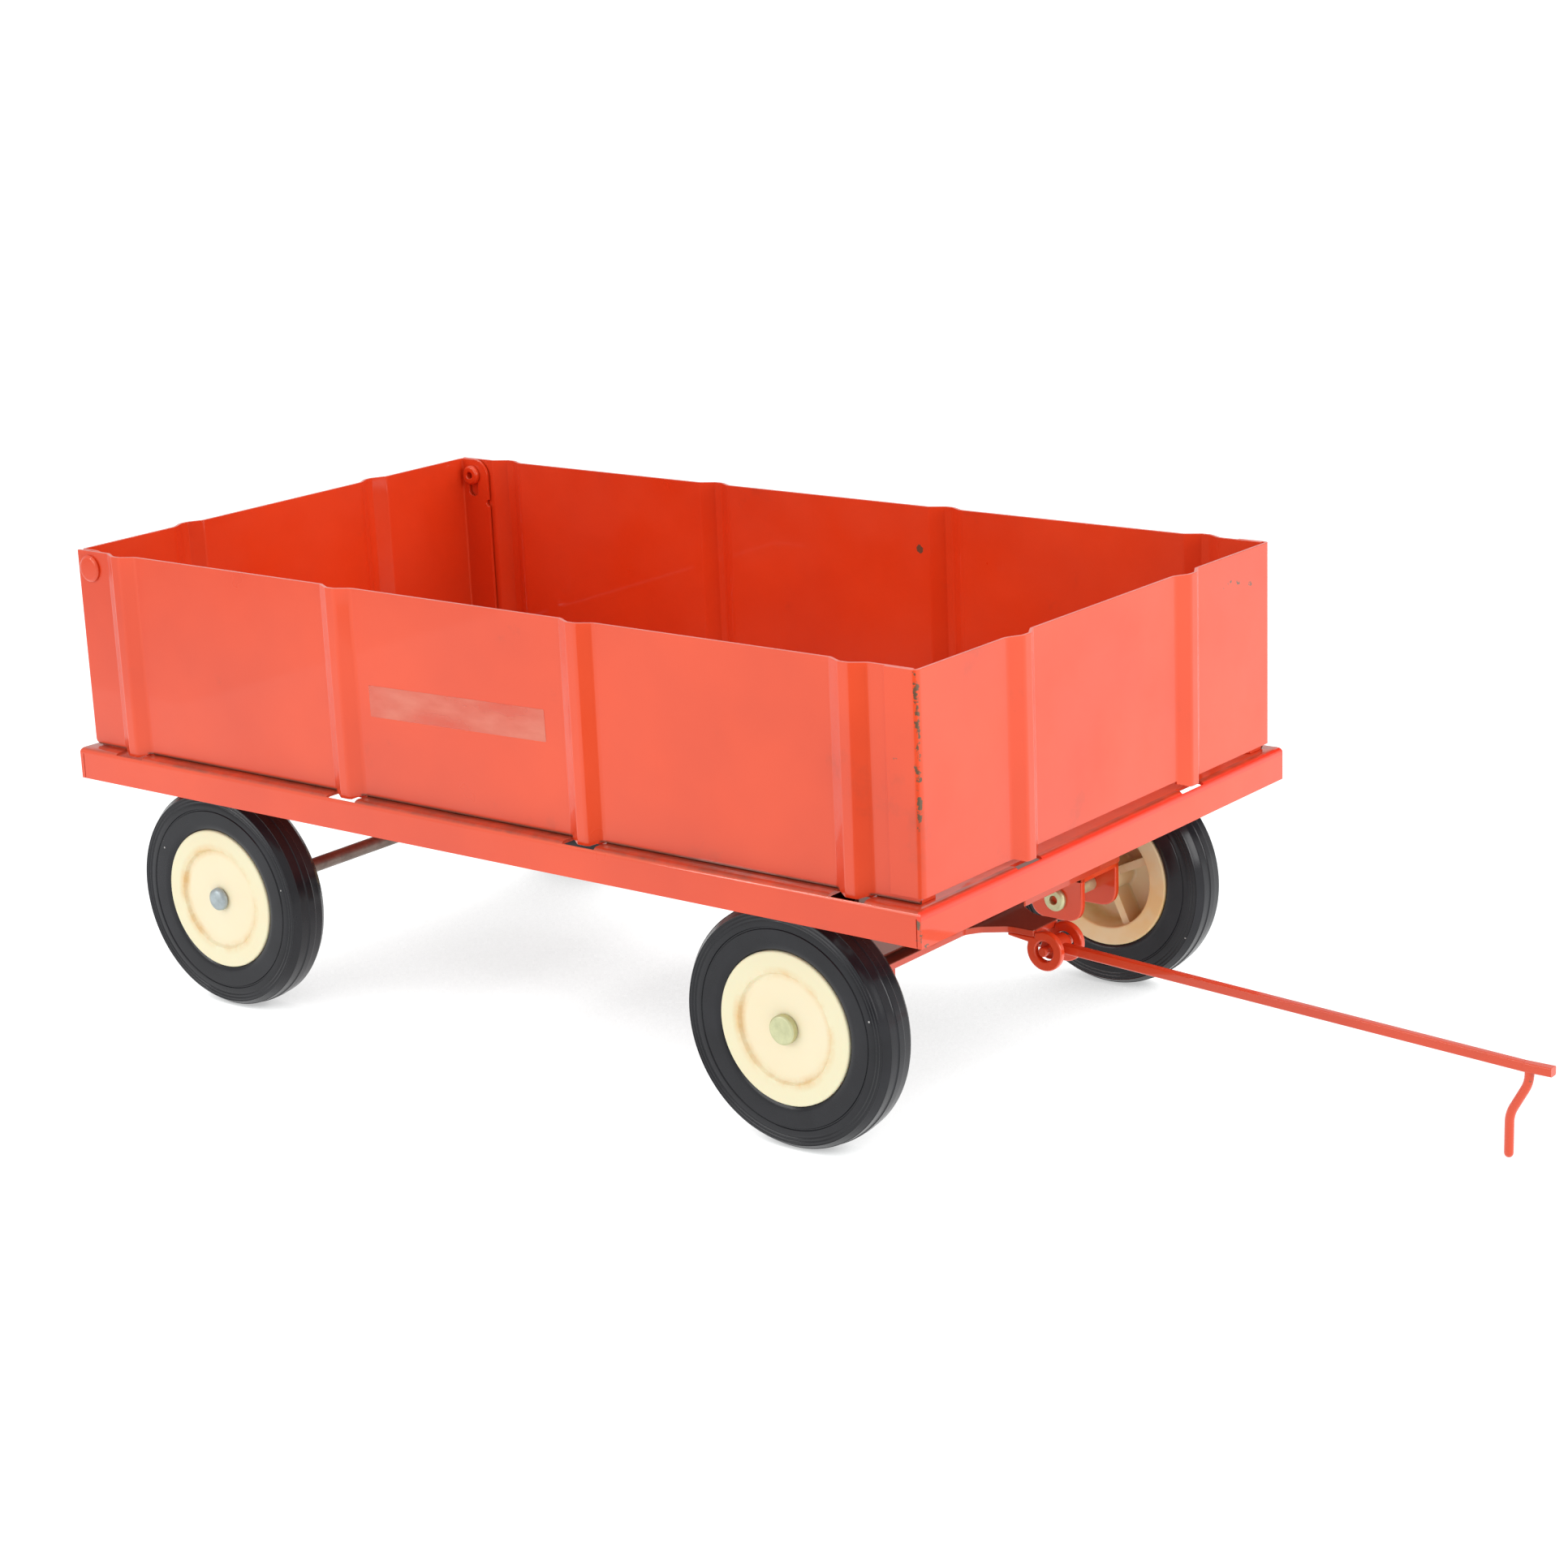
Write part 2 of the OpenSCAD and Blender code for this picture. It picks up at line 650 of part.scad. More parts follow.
// Bent hitch pin, staked up into the drawbar's tip, with a straight round lower end
module hitch_pin() color(red) translate([bed_cx + tow_x + draw_reach, 0, 0]) {
    stake_z = pin_top_z - bar_h / 2;
    lap = 0.2;
    translate([0, 0, stake_z - eps]) cylinder(r = 0.6, h = bar_h + eps);
    translate([0, 0, curve_top_z]) cylinder(r = pin_r, h = stake_z - curve_top_z);
    translate([-curve_r, 0, curve_top_z]) rotate([-90, 0, 0]) pin_bend();
    translate([-curve_r, 0, curve_top_z]) rotate([0, curve_a, 0])
        translate([curve_r, 0, -slant_l - lap]) cylinder(r = pin_r - 0.02, h = slant_l + 2 * lap);
    translate([curve_r - curve_back, 0, curve_low_z]) mirror([1, 0, 0]) rotate([90, 0, 0]) pin_bend();
    translate([-curve_back, 0, pin_tip_z + pin_r]) cylinder(r = pin_r, h = pin_straight);
    translate([-curve_back, 0, pin_tip_z + pin_r]) sphere(r = pin_r);
}

module pin_bend() {
    rotate_extrude(angle = curve_a) translate([curve_r, 0]) circle(r = pin_r);
}

bed();
side_wall_right();
side_wall_left();
front_wall();
tailgate();
tailgate_rivets();
front_bolster();
kingpin();
kingpin_washer();
front_beam();
axle_bracket_right();
axle_bracket_left();
stub_axle_right();
stub_axle_left();
rear_bracket();
rear_axle();
rim_front_right();
rim_front_left();
rim_rear_right();
rim_rear_left();
tyre_front_right();
tyre_front_left();
tyre_rear_right();
tyre_rear_left();
drawbar();
hitch_pin();
label_right();
label_left();
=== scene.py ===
import json
import math

import bmesh
import bpy
from mathutils import Matrix, Vector


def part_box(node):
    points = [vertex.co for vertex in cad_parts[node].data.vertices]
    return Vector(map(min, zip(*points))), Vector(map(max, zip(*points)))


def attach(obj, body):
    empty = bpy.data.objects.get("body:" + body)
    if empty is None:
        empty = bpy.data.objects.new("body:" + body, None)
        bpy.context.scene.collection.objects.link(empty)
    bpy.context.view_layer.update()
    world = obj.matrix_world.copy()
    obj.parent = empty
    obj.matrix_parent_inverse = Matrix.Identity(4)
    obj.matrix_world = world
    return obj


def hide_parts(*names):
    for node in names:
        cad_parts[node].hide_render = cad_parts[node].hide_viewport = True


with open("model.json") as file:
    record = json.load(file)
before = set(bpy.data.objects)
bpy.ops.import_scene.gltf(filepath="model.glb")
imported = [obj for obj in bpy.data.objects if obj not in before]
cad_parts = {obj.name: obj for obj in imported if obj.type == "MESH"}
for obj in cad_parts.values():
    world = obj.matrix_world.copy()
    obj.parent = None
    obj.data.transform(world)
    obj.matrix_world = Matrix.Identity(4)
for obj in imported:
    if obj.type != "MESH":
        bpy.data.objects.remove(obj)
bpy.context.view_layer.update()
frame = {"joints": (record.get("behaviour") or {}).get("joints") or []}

# Lengths are millimetres until raw_object() scales them; the stage and the lights are in metres.
MM = 0.001
SHEET = 0.7  # thickness of the bed and the walls
PLATE = 1.5  # thickness of the beam, the brackets and the fork
WALL_GAP = 0.3  # height of the side walls' lower edge above the deck
FRONT_GAP = 1.4  # the same for the front wall, at its ends
MIDDLE_RISE = 0.7  # how much higher the front wall's edge is between its ribs
DECK_RISE = 0.7
WALL_FLANGE = 5.0
RIB_DEPTH = 1.9
RIB_BASE = 9.2
RIB_CREST = 2.4
RIB_RADII = [0.8, 1.1, 2.4, 2.4]
RIB_FOOT = 0.45  # share of a rib's depth beyond which its lower edge is a foot
SIDE_PITCH = 68.5
SIDE_SHIFT = -0.6
END_PITCH = 61.5
BEND_R = 1.3
WALL_CORNER = 1.4
AXLE_R = 1.7
RIM_STEP = 11.5  # radius of the step between a rim's outer ring and its disc
SHEET_EDGE = 0.16  # rounding of a wall's cut edges
PLATE_EDGE = 0.28
SHARP_ANGLE = math.radians(50)
BEVEL_ANGLE = math.radians(42)
RIGHT, LEFT = -1, 1
SIDES = (("right", RIGHT), ("left", LEFT))


def box_mm(node):
    """Lowest and highest corner of a CAD node, in millimetres."""
    low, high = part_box(node)
    return low / MM, high / MM


BED_LO, BED_HI = box_mm("bed")
DECK_Z = BED_HI.z - DECK_RISE
SKIRT_Z = BED_LO.z
BED_CX = (BED_LO.x + BED_HI.x) / 2
WALL_LO, WALL_HI = box_mm("side_wall_right")
WALL_Z = DECK_Z + WALL_GAP
FOOT_Z = WALL_LO.z
TOP_Z = WALL_HI.z
SIDE_Y = -(WALL_LO.y + RIB_DEPTH)
REAR_X = WALL_LO.x
FRONT_LO, FRONT_HI = box_mm("front_wall")
FRONT_X = FRONT_HI.x - RIB_DEPTH
BOX_Y = FRONT_HI.y
GATE_HI = box_mm("tailgate")[1]
GATE_Y = GATE_HI.y
BEAM_TOP = box_mm("front_beam")[1].z
DRAWBAR_LO, DRAWBAR_HI = box_mm("drawbar")
PIN_X = DRAWBAR_HI.x - 4.9
SIDE_RIBS = [BED_CX + SIDE_SHIFT + SIDE_PITCH * i for i in (-1.5, -0.5, 0.5, 1.5)]
END_RIBS = [-END_PITCH / 2, END_PITCH / 2]
PIVOTS = {joint["name"]: Vector(joint["pos_m"]) / MM for joint in frame["joints"]}
HINGE = PIVOTS["tailgate_swing"]
TOW = PIVOTS["drawbar_pitch"]
KING_X = PIVOTS["steer"].x
REAR_AXLE_X, WHEEL_Y, AXLE_Z = PIVOTS["wheel_rear_left_spin"]


# ---- flat geometry -------------------------------------------------------

def rounded(points, radius, closed=False, steps=6):
    """Points with each corner replaced by an arc; radius is one number or one per point."""
    out = []
    count = len(points)
    for i, point in enumerate(points):
        here = Vector(point)
        r = radius[i] if isinstance(radius, (list, tuple)) else radius
        if r <= 0 or (not closed and i in (0, count - 1)):
            out.append(here)
            continue
        before = Vector(points[i - 1]) - here
        after = Vector(points[(i + 1) % count]) - here
        half = before.angle(after) / 2
        if half > math.radians(89.5):
            out.append(here)
            continue
        reach = min(r / math.tan(half), 0.49 * before.length, 0.49 * after.length)
        start = here + before.normalized() * reach
        end = here + after.normalized() * reach
        for k in range(steps + 1):
            t = k / steps
            out.append((1 - t) ** 2 * start + 2 * t * (1 - t) * here + t ** 2 * end)
    return out


def offset_left(path, distance):
    """The path moved sideways, to the left of its own direction."""
    out = []
    for i, point in enumerate(path):
        back = (point - path[max(i - 1, 0)])
        ahead = (path[min(i + 1, len(path) - 1)] - point)
        back = ahead if back.length < 1e-6 else back
        ahead = back if ahead.length < 1e-6 else ahead
        n0 = Vector((-back.y, back.x)).normalized()
        n1 = Vector((-ahead.y, ahead.x)).normalized()
        mid = (n0 + n1).normalized()
        out.append(point + mid * (distance / max(mid.dot(n0), 0.3)))
    return out


def subdivide(path, longest):
    """The path with extra points, so no stretch is longer than the given length."""
    out = [path[0]]
    for a, b in zip(path, path[1:]):
        parts = max(1, math.ceil((b - a).length / longest))
        out += [a.lerp(b, (k + 1) / parts) for k in range(parts)]
    return out


def rib_corners(centre):
    """A rib as (along, outward) corners."""
    return [
        (centre - RIB_BASE / 2, 0.0),
        (centre - RIB_CREST / 2, RIB_DEPTH),
        (centre + RIB_CREST / 2, RIB_DEPTH),
        (centre + RIB_BASE / 2, 0.0),
    ]


def arc(cx, cy, r, start, end, steps):
    """Points on an arc, angles in degrees."""
    angles = [math.radians(start + (end - start) * k / steps) for k in range(steps + 1)]
    return [Vector((cx + r * math.cos(a), cy + r * math.sin(a))) for a in angles]


def circle(cx, cy, r, steps=48):
    """Points round a full circle."""
    return arc(cx, cy, r, 0, 360, steps)[:-1]


def rectangle(x0, y0, x1, y1):
    """A rectangle's corners, in order from (x0, y0)."""
    return [(x0, y0), (x1, y0), (x1, y1), (x0, y1)]


# ---- solid pieces --------------------------------------------------------

def raw_object(name, part):
    """A bare object in metres from (verts, faces) in millimetres."""
    verts, faces = part
    mesh = bpy.data.meshes.new(name)
    mesh.from_pydata([Vector(v) * MM for v in verts], [], faces)
    mesh.validate()
    mesh.update()
    piece = bpy.data.objects.new(name, mesh)
    bpy.context.scene.collection.objects.link(piece)
    return piece


def new_piece(name, part, material, body, bevel=0.0, replaces=()):
    """A finished piece from (verts, faces) in millimetres, riding on a body of the frame."""
    return dress(raw_object(name, part), material, body, bevel, replaces)


def dress(piece, material, body, bevel=0.0, replaces=()):
    """Gives a piece its shading, edge rounding, material and body."""
    piece.data.shade_smooth()
    piece.data.set_sharp_from_angle(angle=SHARP_ANGLE)
    piece.data.materials.clear()
    piece.data.materials.append(material)
    if bevel:
        edge = piece.modifiers.new("edges", "BEVEL")
        edge.width = bevel * MM
        edge.segments = 2
        edge.limit_method = "ANGLE"
        edge.angle_limit = BEVEL_ANGLE
        edge.use_clamp_overlap = True
    weigh = piece.modifiers.new("flats", "WEIGHTED_NORMAL")
    weigh.weight = 60
    weigh.keep_sharp = True
    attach(piece, body)
    if replaces:
        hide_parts(*replaces)
    return piece


def joined(parts):
    """Several (verts, faces) parts as one."""
    verts, faces = [], []
    for v, f in parts:
        faces += [[i + len(verts) for i in face] for face in f]
        verts += [Vector(p) for p in v]
    return verts, faces


def spin(profile, steps):
    """The points of a profile of (radius, height), repeated at equal turns about +Z."""
    angles = [2 * math.pi * k / steps for k in range(steps)]
    return [Vector((r * math.cos(a), r * math.sin(a), h)) for a in angles for r, h in profile]


def lathe(profile, steps=128):
    """A closed profile of (radius, height) turned about +Z."""
    faces = []
    count = len(profile)
    for k in range(steps):
        nxt = (k + 1) % steps
        for i in range(count):
            j = (i + 1) % count
            faces.append([k * count + i, nxt * count + i, nxt * count + j, k * count + j])
    return spin(profile, steps), faces


def turned(profile, steps=64):
    """A profile of (radius, height) from one end of the axis to the other, turned and capped."""
    faces = []
    count = len(profile)
    for k in range(steps):
        nxt = (k + 1) % steps
        for i in range(count - 1):
            faces.append([k * count + i, nxt * count + i, nxt * count + i + 1, k * count + i + 1])
    faces.append([k * count for k in reversed(range(steps))])
    faces.append([k * count + count - 1 for k in range(steps)])
    return spin(profile, steps), faces


def prism(outline, low, high):
    """An outline in X and Y standing between two heights."""
    n = len(outline)
    verts = [Vector((p[0], p[1], z)) for z in (low, high) for p in outline]
    faces = [[i, (i + 1) % n, n + (i + 1) % n, n + i] for i in range(n)]
    faces += [list(reversed(range(n))), list(range(n, 2 * n))]
    return verts, faces


def moved(part, matrix):
    """A part put somewhere else; a mirrored one keeps its faces outward."""
    verts, faces = part
    flip = matrix.determinant() < 0
    faces = [list(reversed(f)) for f in faces] if flip else faces
    return [matrix @ v for v in verts], faces


def at(x=0.0, y=0.0, z=0.0):
    return Matrix.Translation((x, y, z))


def turn(axis, degrees):
    return Matrix.Rotation(math.radians(degrees), 4, axis)


# An outline drawn in X and Z, standing up from low to high along Y
UPRIGHT = Matrix(((1, 0, 0, 0), (0, 0, -1, 0), (0, 1, 0, 0), (0, 0, 0, 1)))
MIRROR_Y = Matrix.Diagonal((1, -1, 1, 1))


def upright(outline, y0, y1):
    """An outline of (x, z) points given thickness from y0 to y1."""
    return moved(prism(outline, -y1, -y0), UPRIGHT)


def crosswise(part, x, z, side=LEFT):
    """A part drawn about +Z, laid along Y at (x, z) with its top towards one side."""
    place = at(x, 0, z) @ turn("X", -90)
    return moved(part, MIRROR_Y @ place if side == RIGHT else place)


def folded_wall(path, low, high, thick=SHEET):
    """A standing sheet: its outer face follows the path and its thickness lies to the left."""
    inner = offset_left(path, thick)
    verts, faces = [], []
    for out, inn in zip(path, inner):
        z0, z1 = low(out.x, out.y), high(out.x, out.y)
        verts += [
            Vector((out.x, out.y, z0)), Vector((out.x, out.y, z1)),
            Vector((inn.x, inn.y, z1)), Vector((inn.x, inn.y, z0)),
        ]
    for i in range(len(path) - 1):
        a, b = 4 * i, 4 * (i + 1)
        for k in range(4):
            j = (k + 1) % 4
            faces.append([a + k, b + k, b + j, a + j])
    faces.append([0, 1, 2, 3])
    last = 4 * (len(path) - 1)
    faces.append([last + 3, last + 2, last + 1, last])
    return verts, faces


def apply_modifiers(piece):
    """Makes the modified shape the piece's own mesh."""
    bpy.context.view_layer.update()
    shape = piece.evaluated_get(bpy.context.evaluated_depsgraph_get())
    solid = bpy.data.meshes.new_from_object(shape)
    piece.modifiers.clear()
    piece.data = solid


def thicken(piece, thickness):
    """Gives a surface its sheet thickness, on its inner side."""
    skin = piece.modifiers.new("sheet", "SOLIDIFY")
    skin.thickness = thickness * MM
    skin.offset = -1
    skin.use_even_offset = True
    apply_modifiers(piece)


def carve(piece, cutters):
    """Cuts closed (verts, faces) shapes out of a piece."""
    for part in cutters:
        cutter = raw_object("cutter", part)
        cut = piece.modifiers.new("cut", "BOOLEAN")
        cut.object = cutter
        cut.solver = "EXACT"
        apply_modifiers(piece)
        bpy.data.objects.remove(cutter)


def sweep(path, section):
    """A section of (across, up) points carried along a path of (x, z) points in the middle plane."""
    verts, faces = [], []
    stations = [Vector(p) for p in path]
    for i, p in enumerate(stations):
        ahead = stations[min(i + 1, len(stations) - 1)] - stations[max(i - 1, 0)]
        ahead.normalize()
        up = Vector((-ahead.y, ahead.x))
        ring = section(i / (len(stations) - 1))
        verts += [Vector((p.x + up.x * v, u, p.y + up.y * v)) for u, v in ring]
    n = len(section(0.0))
    for i in range(len(stations) - 1):
        for k in range(n):
            j = (k + 1) % n
            faces.append([i * n + k, i * n + j, (i + 1) * n + j, (i + 1) * n + k])
    faces.append(list(reversed(range(n))))
    faces.append([(len(stations) - 1) * n + k for k in range(n)])
    return verts, faces


def round_section(w, h, r, steps=4):
    """A rectangle about the origin with rounded corners."""
    return rounded(rectangle(-w / 2, -h / 2, w / 2, h / 2), r, closed=True, steps=steps)


# ---- materials -----------------------------------------------------------

class Shader:
    """A Principled material with short helpers for its node tree."""

    def __init__(self, name, **values):
        self.material = bpy.data.materials.new(name)
        self.material.use_nodes = True
        self.tree = self.material.node_tree
        self.bsdf = self.tree.nodes["Principled BSDF"]
        self.coord = self.tree.nodes.new("ShaderNodeTexCoord").outputs["Object"]
        for key, value in values.items():
            self.bsdf.inputs[key.replace("_", " ")].default_value = value

    def link(self, a, b):
        self.tree.links.new(a, b)

    def math(self, operation, a, b=0.0):
        n = self.tree.nodes.new("ShaderNodeMath")
        n.operation = operation
        for i, value in enumerate((a, b)):
            if isinstance(value, (int, float)):
                n.inputs[i].default_value = value
            else:
                self.link(value, n.inputs[i])
        return n.outputs[0]

    def noise(self, scale, detail=3.0, rough=0.55, vector=None):
        n = self.tree.nodes.new("ShaderNodeTexNoise")
        n.inputs["Scale"].default_value = scale
        n.inputs["Detail"].default_value = detail
        n.inputs["Roughness"].default_value = rough
        self.link(vector or self.coord, n.inputs["Vector"])
        return n.outputs["Fac"]

    def product(self, first, *others):
        """All the factors multiplied together."""
        for other in others:
            first = self.math("MULTIPLY", first, other)
        return first

    def vector(self, operation, value, constant=(0, 0, 0)):
        n = self.tree.nodes.new("ShaderNodeVectorMath")
        n.operation = operation
        n.inputs[1].default_value = constant
        self.link(value, n.inputs[0])
        return n.outputs["Value" if operation == "LENGTH" else "Vector"]

    def specks(self, scale, radius, share):
        """Scattered round specks: a share of the cells of a Voronoi pattern."""
        n = self.tree.nodes.new("ShaderNodeTexVoronoi")
        n.inputs["Scale"].default_value = scale
        self.link(self.coord, n.inputs["Vector"])
        dot = self.ramp(n.outputs["Distance"], radius, radius * 0.6)
        split = self.tree.nodes.new("ShaderNodeSeparateColor")
        self.link(n.outputs["Color"], split.inputs[0])
        return self.math("MULTIPLY", dot, self.math("LESS_THAN", split.outputs[0], share))

    def ramp(self, value, low, high):
        """0 at low and 1 at high, straight between; low may be the larger."""
        n = self.tree.nodes.new("ShaderNodeMapRange")
        n.inputs["From Min"].default_value = low
        n.inputs["From Max"].default_value = high
        self.link(value, n.inputs["Value"])
        return n.outputs[0]

    def fade(self, value, low, high):
        """ramp() between two lengths in millimetres."""
        return self.ramp(value, low * MM, high * MM)

    def mix(self, factor, a, b):
        n = self.tree.nodes.new("ShaderNodeMix")
        n.data_type = "RGBA"
        for socket, value in ((n.inputs["Factor"], factor), (n.inputs["A"], a), (n.inputs["B"], b)):
            if isinstance(value, (int, float, tuple)):
                socket.default_value = value
            else:
                self.link(value, socket)
        return n.outputs["Result"]

    def axes(self):
        n = self.tree.nodes.new("ShaderNodeSeparateXYZ")
        self.link(self.coord, n.inputs[0])
        return n.outputs

    def near(self, point, radius, stretch=(1, 1, 1)):
        """1 at a point of the object and 0 beyond a radius from it, both in millimetres."""
        offset = self.vector("SUBTRACT", self.coord, Vector(point) * MM)
        distance = self.vector("LENGTH", self.vector("MULTIPLY", offset, stretch))
        return self.fade(distance, radius, radius * 0.35)

    def disc(self, x, z, radius, soft):
        """1 inside a cylinder along Y at (x, z), fading to 0 over a soft edge, in millimetres."""
        across, _, height = self.axes()
        dx = self.math("SUBTRACT", across, x * MM)
        dz = self.math("SUBTRACT", height, z * MM)
        square = self.math("ADD", self.product(dx, dx), self.product(dz, dz))
        return self.fade(self.math("SQRT", square), radius + soft, radius)

    def bump(self, height, strength, distance):
        n = self.tree.nodes.new("ShaderNodeBump")
        n.inputs["Strength"].default_value = strength
        n.inputs["Distance"].default_value = distance * MM
        self.link(height, n.inputs["Height"])
        self.link(n.outputs[0], self.bsdf.inputs["Normal"])

    def colour(self, socket):
        self.link(socket, self.bsdf.inputs["Base Color"])

    def roughness(self, socket):
        self.link(socket, self.bsdf.inputs["Roughness"])


PAINT = (0.735, 0.051, 0.008, 1)
PAINT_DEEP = (0.61, 0.033, 0.005, 1)
# The paint's colour in shadow, mixed in as painted shade.
PAINT_IN_SHADOW = (0.42, 0.035, 0.017, 1)
CHIP = (0.11, 0.06, 0.035, 1)
# More saturated orange for the bed's front bend: a painted reflection.
PAINT_BEND_REFLECTION = (0.78, 0.021, 0.002, 1)
# Dark brown for dirt and painted shade on the bed's rim outside the walls, and for painted shade along the
# walls' feet and on the beam's top.
SOOT_AND_SHADE = (0.13, 0.028, 0.016, 1)
GRIME = (0.2, 0.035, 0.02, 1)


def ledge_dirt_and_shade(s):
    """1 on the bed's rim outside the walls, where the paint is worn and dirt has settled; the darkening there
    is also painted shade from the walls above.
    """
    x, y, z = s.axes()
    beside = s.fade(s.math("ABSOLUTE", y), SIDE_Y - 0.6, SIDE_Y - 0.3)
    ahead = s.fade(x, FRONT_X - 0.6, FRONT_X - 0.3)
    high = s.fade(z, DECK_Z - 0.75, DECK_Z - 0.35)
    patchy = s.ramp(s.noise(95, 5, 0.7), 0.3, 0.8)
    return s.product(s.math("MAXIMUM", beside, ahead), high, patchy)


def foot_shadow_line(s):
    """1 along the very bottom of the side walls' outer faces: painted shade, a dark line along the narrow gap
    between each wall and the bed.
    """
    _, y, z = s.axes()
    width = s.math("ABSOLUTE", y)
    below = s.fade(z, WALL_Z + 0.55, WALL_Z + 0.15)
    above = s.fade(z, WALL_Z - 0.9, WALL_Z - 0.5)
    flat = s.fade(width, SIDE_Y + 0.7, SIDE_Y + 0.4)
    outer = s.fade(width, SIDE_Y - 0.9, SIDE_Y - 0.8)
    return s.product(below, above, flat, outer)


def front_bend_reflection(s):
    """1 on the bed's front bend, which the photograph shows as a bright orange band; the more saturated
    orange mixed in there is a painted reflection.
    """
    x, _, z = s.axes()
    above = s.fade(z, DECK_Z - 2.0, DECK_Z - 1.6)
    below = s.fade(z, DECK_Z - 0.1, DECK_Z - 0.3)
    return s.product(above, below, s.fade(x, FRONT_X + 0.4, FRONT_X + 0.7))


def beam_top_shadow(s):
    """Nearly 1 on the front beam's upper face, which lies in the bed's shadow: painted shade, darkened to
    brown.
    """
    _, _, z = s.axes()
    return s.product(s.fade(z, BEAM_TOP - 0.3, BEAM_TOP - 0.1), 0.85)


def enamel(name, chips=(), depth=0.0, dirt_and_shade=None, bend_reflection=None, shade=PAINT_IN_SHADOW):
    """Glossy stove enamel: slow colour drift, orange peel, dust specks and chips at given places.

    One argument mixes in the colour of the paint in shadow, a painted shade; one is a mask for dirt and
    painted shade, and one a mask for a more saturated orange, a painted reflection.
    """
    s = Shader(name, Coat_Weight=0.7, Coat_Roughness=0.04, Coat_IOR=1.5, Specular_Tint=(1, 0.9, 0.6, 1))
    drift = s.ramp(s.noise(14, 4, 0.6), 0.35, 0.7)
    base = s.mix(drift, PAINT, PAINT_DEEP)
    # Painted shade: the paint pulled towards its colour in shadow.
    if depth:
        base = s.mix(depth, base, shade)
    # Dirt and painted shade, where the mask says.
    if dirt_and_shade:
        base = s.mix(dirt_and_shade(s), base, SOOT_AND_SHADE)
    # Painted reflection: a more saturated orange where the mask says.
    if bend_reflection:
        base = s.mix(bend_reflection(s), base, PAINT_BEND_REFLECTION)
    dirt = s.product(s.ramp(s.noise(55, 6, 0.65), 0.62, 0.8), 0.3)
    base = s.mix(dirt, base, GRIME)
    pits = s.specks(90, 0.05, 0.035)
    base = s.mix(s.product(pits, 0.6), base, CHIP)
    bare = None
    for point, radius, stretch, amount in chips:
        patch = s.product(s.near(point, radius, stretch), amount)
        bare = patch if bare is None else s.math("MAXIMUM", bare, patch)
    if bare is not None:
        rough_edge = s.noise(620, 5, 0.7)
        hole = s.ramp(s.math("ADD", s.product(bare, 0.6), rough_edge), 0.86, 0.9)
        base = s.mix(hole, base, CHIP)
    s.colour(base)
    s.roughness(s.ramp(s.noise(38, 4), -0.2, 1.6))
    s.bump(s.noise(150, 2, 0.4), 0.12, 0.06)
    return s.material


def rubber():
    s = Shader("tyre_rubber", Specular_IOR_Level=0.32)
    cloud = s.ramp(s.noise(70, 5, 0.65), 0.3, 0.75)
    base = s.mix(cloud, (0.007, 0.007, 0.009, 1), (0.016, 0.016, 0.020, 1))
    base = s.mix(s.specks(420, 0.11, 0.035), base, (0.42, 0.41, 0.39, 1))
    s.colour(base)
    s.roughness(s.ramp(s.noise(110, 4), 0.0, 2.4))
    s.bump(s.noise(900, 3, 0.6), 0.08, 0.03)
    return s.material


def cream_plastic():
    """Yellowed moulding: a pale outer ring, a warmer disc, and amber dirt along the step between them."""
    s = Shader("rim_plastic", Subsurface_Weight=0.12, Subsurface_Scale=0.002, Coat_Weight=0.15)
    discs = [[s.disc(x, AXLE_Z, r, soft) for x in (KING_X, REAR_AXLE_X)]
             for r, soft in ((RIM_STEP - 0.2, 0.4), (RIM_STEP - 1.6, 1.5), (RIM_STEP + 0.2, 1.6))]
    inner, tight, wide = [s.math("MAXIMUM", *pair) for pair in discs]
    cloud = s.product(s.ramp(s.noise(60, 4), 0.35, 0.7), 0.5)
    base = s.mix(inner, (0.74, 0.69, 0.47, 1), (0.79, 0.70, 0.49, 1))
    base = s.mix(cloud, base, (0.77, 0.65, 0.42, 1))
    line = s.math("SUBTRACT", wide, tight)
    stain = s.product(line, s.ramp(s.noise(75, 5, 0.7), 0.42, 0.66), 0.8)
    base = s.mix(stain, base, (0.66, 0.38, 0.11, 1))
    # The wheels' inner sides, towards the bed, turn amber: partly stains, partly painted shade.
    _, y, _ = s.axes()
    inward = s.fade(s.math("ABSOLUTE", y), WHEEL_Y + 3, WHEEL_Y + 1)
    aged_and_shaded = s.product(inward, s.ramp(s.noise(70, 3), 0.3, 0.7), 0.8)
    base = s.mix(aged_and_shaded, base, (0.74, 0.42, 0.13, 1))
    s.colour(base)
    s.roughness(s.ramp(s.noise(90, 3), -0.6, 2.0))
    s.bump(s.noise(260, 3), 0.12, 0.05)
    return s.material


def plated(name, light, dark, rough):
    """Plated or bare steel with fine tooling marks and dull patches."""
    s = Shader(name, Metallic=0.85)
    patch = s.ramp(s.noise(240, 6, 0.7), 0.35, 0.68)
    s.colour(s.mix(patch, light, dark))
    s.roughness(s.ramp(s.noise(300, 4), -rough, 1 + rough))
    s.bump(s.noise(1400, 2), 0.15, 0.02)
    return s.material


def film():
    """The blank transfer: a clear film that has whitened in patches."""
    s = Shader("label_film", Coat_Weight=0.5, Coat_Roughness=0.1, Roughness=0.32)
    crease = s.noise(1, 4, 0.5, s.vector("MULTIPLY", s.coord, (55, 1, 150)))
    white = s.ramp(crease, 0.2, 0.75)
    s.colour(s.mix(white, (0.8, 0.1, 0.05, 1), (0.84, 0.27, 0.18, 1)))
    s.link(s.ramp(crease, -0.3, 1.3), s.bsdf.inputs["Alpha"])
    s.bump(crease, 0.12, 0.03)
    return s.material


